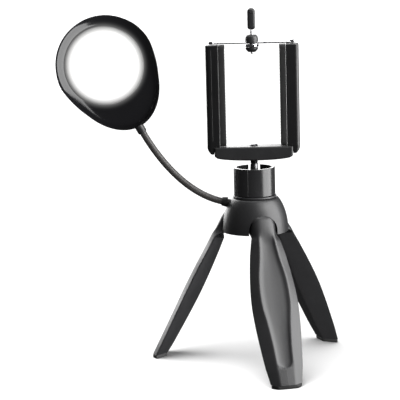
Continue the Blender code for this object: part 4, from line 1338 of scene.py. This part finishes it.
def softbox(name, target, azimuth, elevation, distance, width, height, energy, pieces):
    """A rectangular light that looks at a target and reaches only some pieces."""
    a, e = math.radians(azimuth), math.radians(elevation)
    away = Vector((math.sin(a) * math.cos(e), -math.cos(a) * math.cos(e), math.sin(e)))
    data = bpy.data.lights.new(name, "AREA")
    data.shape = "RECTANGLE"
    data.size, data.size_y = width, height
    data.energy = energy
    light = new_object(name, data)
    light.location = target + away * distance
    light.rotation_euler = (-away).to_track_quat("-Z", "Y").to_euler()
    link_light(light, pieces)


def link_light(light, pieces):
    """The light reaches only these pieces."""
    lit = bpy.data.collections.new(light.name + "_lit")
    for piece in pieces:
        lit.objects.link(piece)
    light.light_linking.receiver_collection = lit


class STAND_OT_stage(bpy.types.Operator):
    """Pale floor, studio light and camera"""
    bl_idname = "stand.stage"
    bl_label = "Studio"

    def execute(self, context):
        studio = context.scene.stand_studio
        self.floor()
        self.world()
        shown = [piece for piece in bpy.data.objects if piece.type == "MESH" and piece.name != "floor"]
        head = [bpy.data.objects[name] for name in ("lamp_front_ring", "lamp_back")]
        lit = {"all": shown, "stand": [piece for piece in shown if piece not in head], "head": head,
               "legs": [piece for piece in shown if piece.name.startswith(("leg_right", "leg_left"))]}
        for key, (*place, group) in SOFTBOXES.items():
            target = HUB @ LAMP.translation if key == "head" else PAN_AXIS + mm((0, 0, AIM_HEIGHT))
            softbox(key + "_softbox", target, *place, getattr(studio, key + "_power"), lit[group])
        self.floor_light(studio.floor_strength)
        self.camera(studio)
        view = context.scene.view_settings
        view.view_transform = "Standard"
        view.look = "None"
        return {"FINISHED"}

    def floor(self):
        """Wide pale floor that the pieces neither mirror nor take light from."""

        def build(work):
            bmesh.ops.create_grid(work, x_segments=8, y_segments=8, size=FLOOR_REACH)

        piece = new_object("floor", new_mesh("floor", build))
        piece.data.materials.append(finish_named("studio_floor"))
        piece.location = PAN_AXIS - mm((0, 0, FLOOR_DROP))
        piece.visible_glossy = False
        piece.visible_diffuse = False

    def floor_light(self, strength):
        """Broad even light that only the floor takes, so that the feet throw soft shadows on it."""
        data = bpy.data.lights.new("floor_light", "SUN")
        data.energy, data.angle = strength, math.radians(FLOOR_LIGHT_SPREAD)
        light = new_object("floor_light", data)
        light.rotation_euler = (*[math.radians(lean) for lean in FLOOR_LIGHT_LEAN], 0.0)
        link_light(light, [bpy.data.objects["floor"]])

    def world(self):
        """White to look at, dim as a light, and dark where the pieces mirror it, as between black cloths."""
        world = bpy.data.worlds.new("studio_world")
        bpy.context.scene.world = world
        world.use_nodes = True
        tree = world.node_tree
        room = tree.nodes["Background"]
        path = tree.nodes.new("ShaderNodeLightPath")
        shine = room
        for ray, level in (("Is Diffuse Ray", WORLD_AS_LIGHT), ("Is Camera Ray", WORLD_SEEN)):
            other = tree.nodes.new("ShaderNodeBackground")
            other.inputs["Color"].default_value = (1.0, 1.0, 1.0, 1.0)
            other.inputs["Strength"].default_value = level
            choose = tree.nodes.new("ShaderNodeMixShader")
            tree.links.new(path.outputs[ray], choose.inputs[0])
            tree.links.new(shine.outputs[0], choose.inputs[1])
            tree.links.new(other.outputs[0], choose.inputs[2])
            shine = choose
        room.inputs["Color"].default_value = (*WORLD_MIRRORED, 1.0)
        tree.links.new(shine.outputs[0], tree.nodes["World Output"].inputs["Surface"])

    def camera(self, studio):
        """Long-lens camera in front of the stand, a little above it."""
        data = bpy.data.cameras.new("studio_camera")
        data.lens = studio.lens
        data.sensor_width = 36.0
        data.shift_x = studio.shift
        data.clip_start, data.clip_end = 0.05, 100.0
        eye = new_object("studio_camera", data)
        eye.location = PAN_AXIS + Vector((0.0, -studio.distance, studio.height))
        aim = Euler((math.pi / 2 - studio.pitch, 0.0, 0.0)).to_matrix().to_4x4()
        eye.rotation_euler = (aim @ Matrix.Rotation(studio.roll, 4, "Z")).to_euler()
        bpy.context.scene.camera = eye


# ------------------------------------------------------------------------ panel

BUILDERS = (STAND_OT_hub, STAND_OT_legs, STAND_OT_head, STAND_OT_clamp_bar, STAND_OT_jaws,
            STAND_OT_width_lock, STAND_OT_neck, STAND_OT_lamp, STAND_OT_inner_works, STAND_OT_stage)


class STAND_PT_panel(bpy.types.Panel):
    """Lists the stand's builders and their sizes and colours"""
    bl_label = "Phone stand"
    bl_idname = "STAND_PT_panel"
    bl_space_type = "VIEW_3D"
    bl_region_type = "UI"
    bl_category = "Stand"

    def draw(self, context):
        for group in (context.scene.stand_sizes, context.scene.stand_colours, context.scene.stand_studio):
            box = self.layout.box()
            for key in group.__annotations__:
                box.prop(group, key)
        for builder in BUILDERS:
            self.layout.operator(builder.bl_idname)


GROUPS = {"stand_sizes": StandSizes, "stand_colours": StandColours, "stand_studio": StudioSettings}


def register():
    for made in (*GROUPS.values(), *BUILDERS, STAND_PT_panel):
        bpy.utils.register_class(made)
    for key, group in GROUPS.items():
        setattr(bpy.types.Scene, key, PointerProperty(type=group))


def unregister():
    for key in GROUPS:
        delattr(bpy.types.Scene, key)
    for made in reversed((*GROUPS.values(), *BUILDERS, STAND_PT_panel)):
        bpy.utils.unregister_class(made)


def main():
    register()
    for builder in BUILDERS:
        group, name = builder.bl_idname.split(".")
        getattr(getattr(bpy.ops, group), name)()


if __name__ == "__main__":
    main()
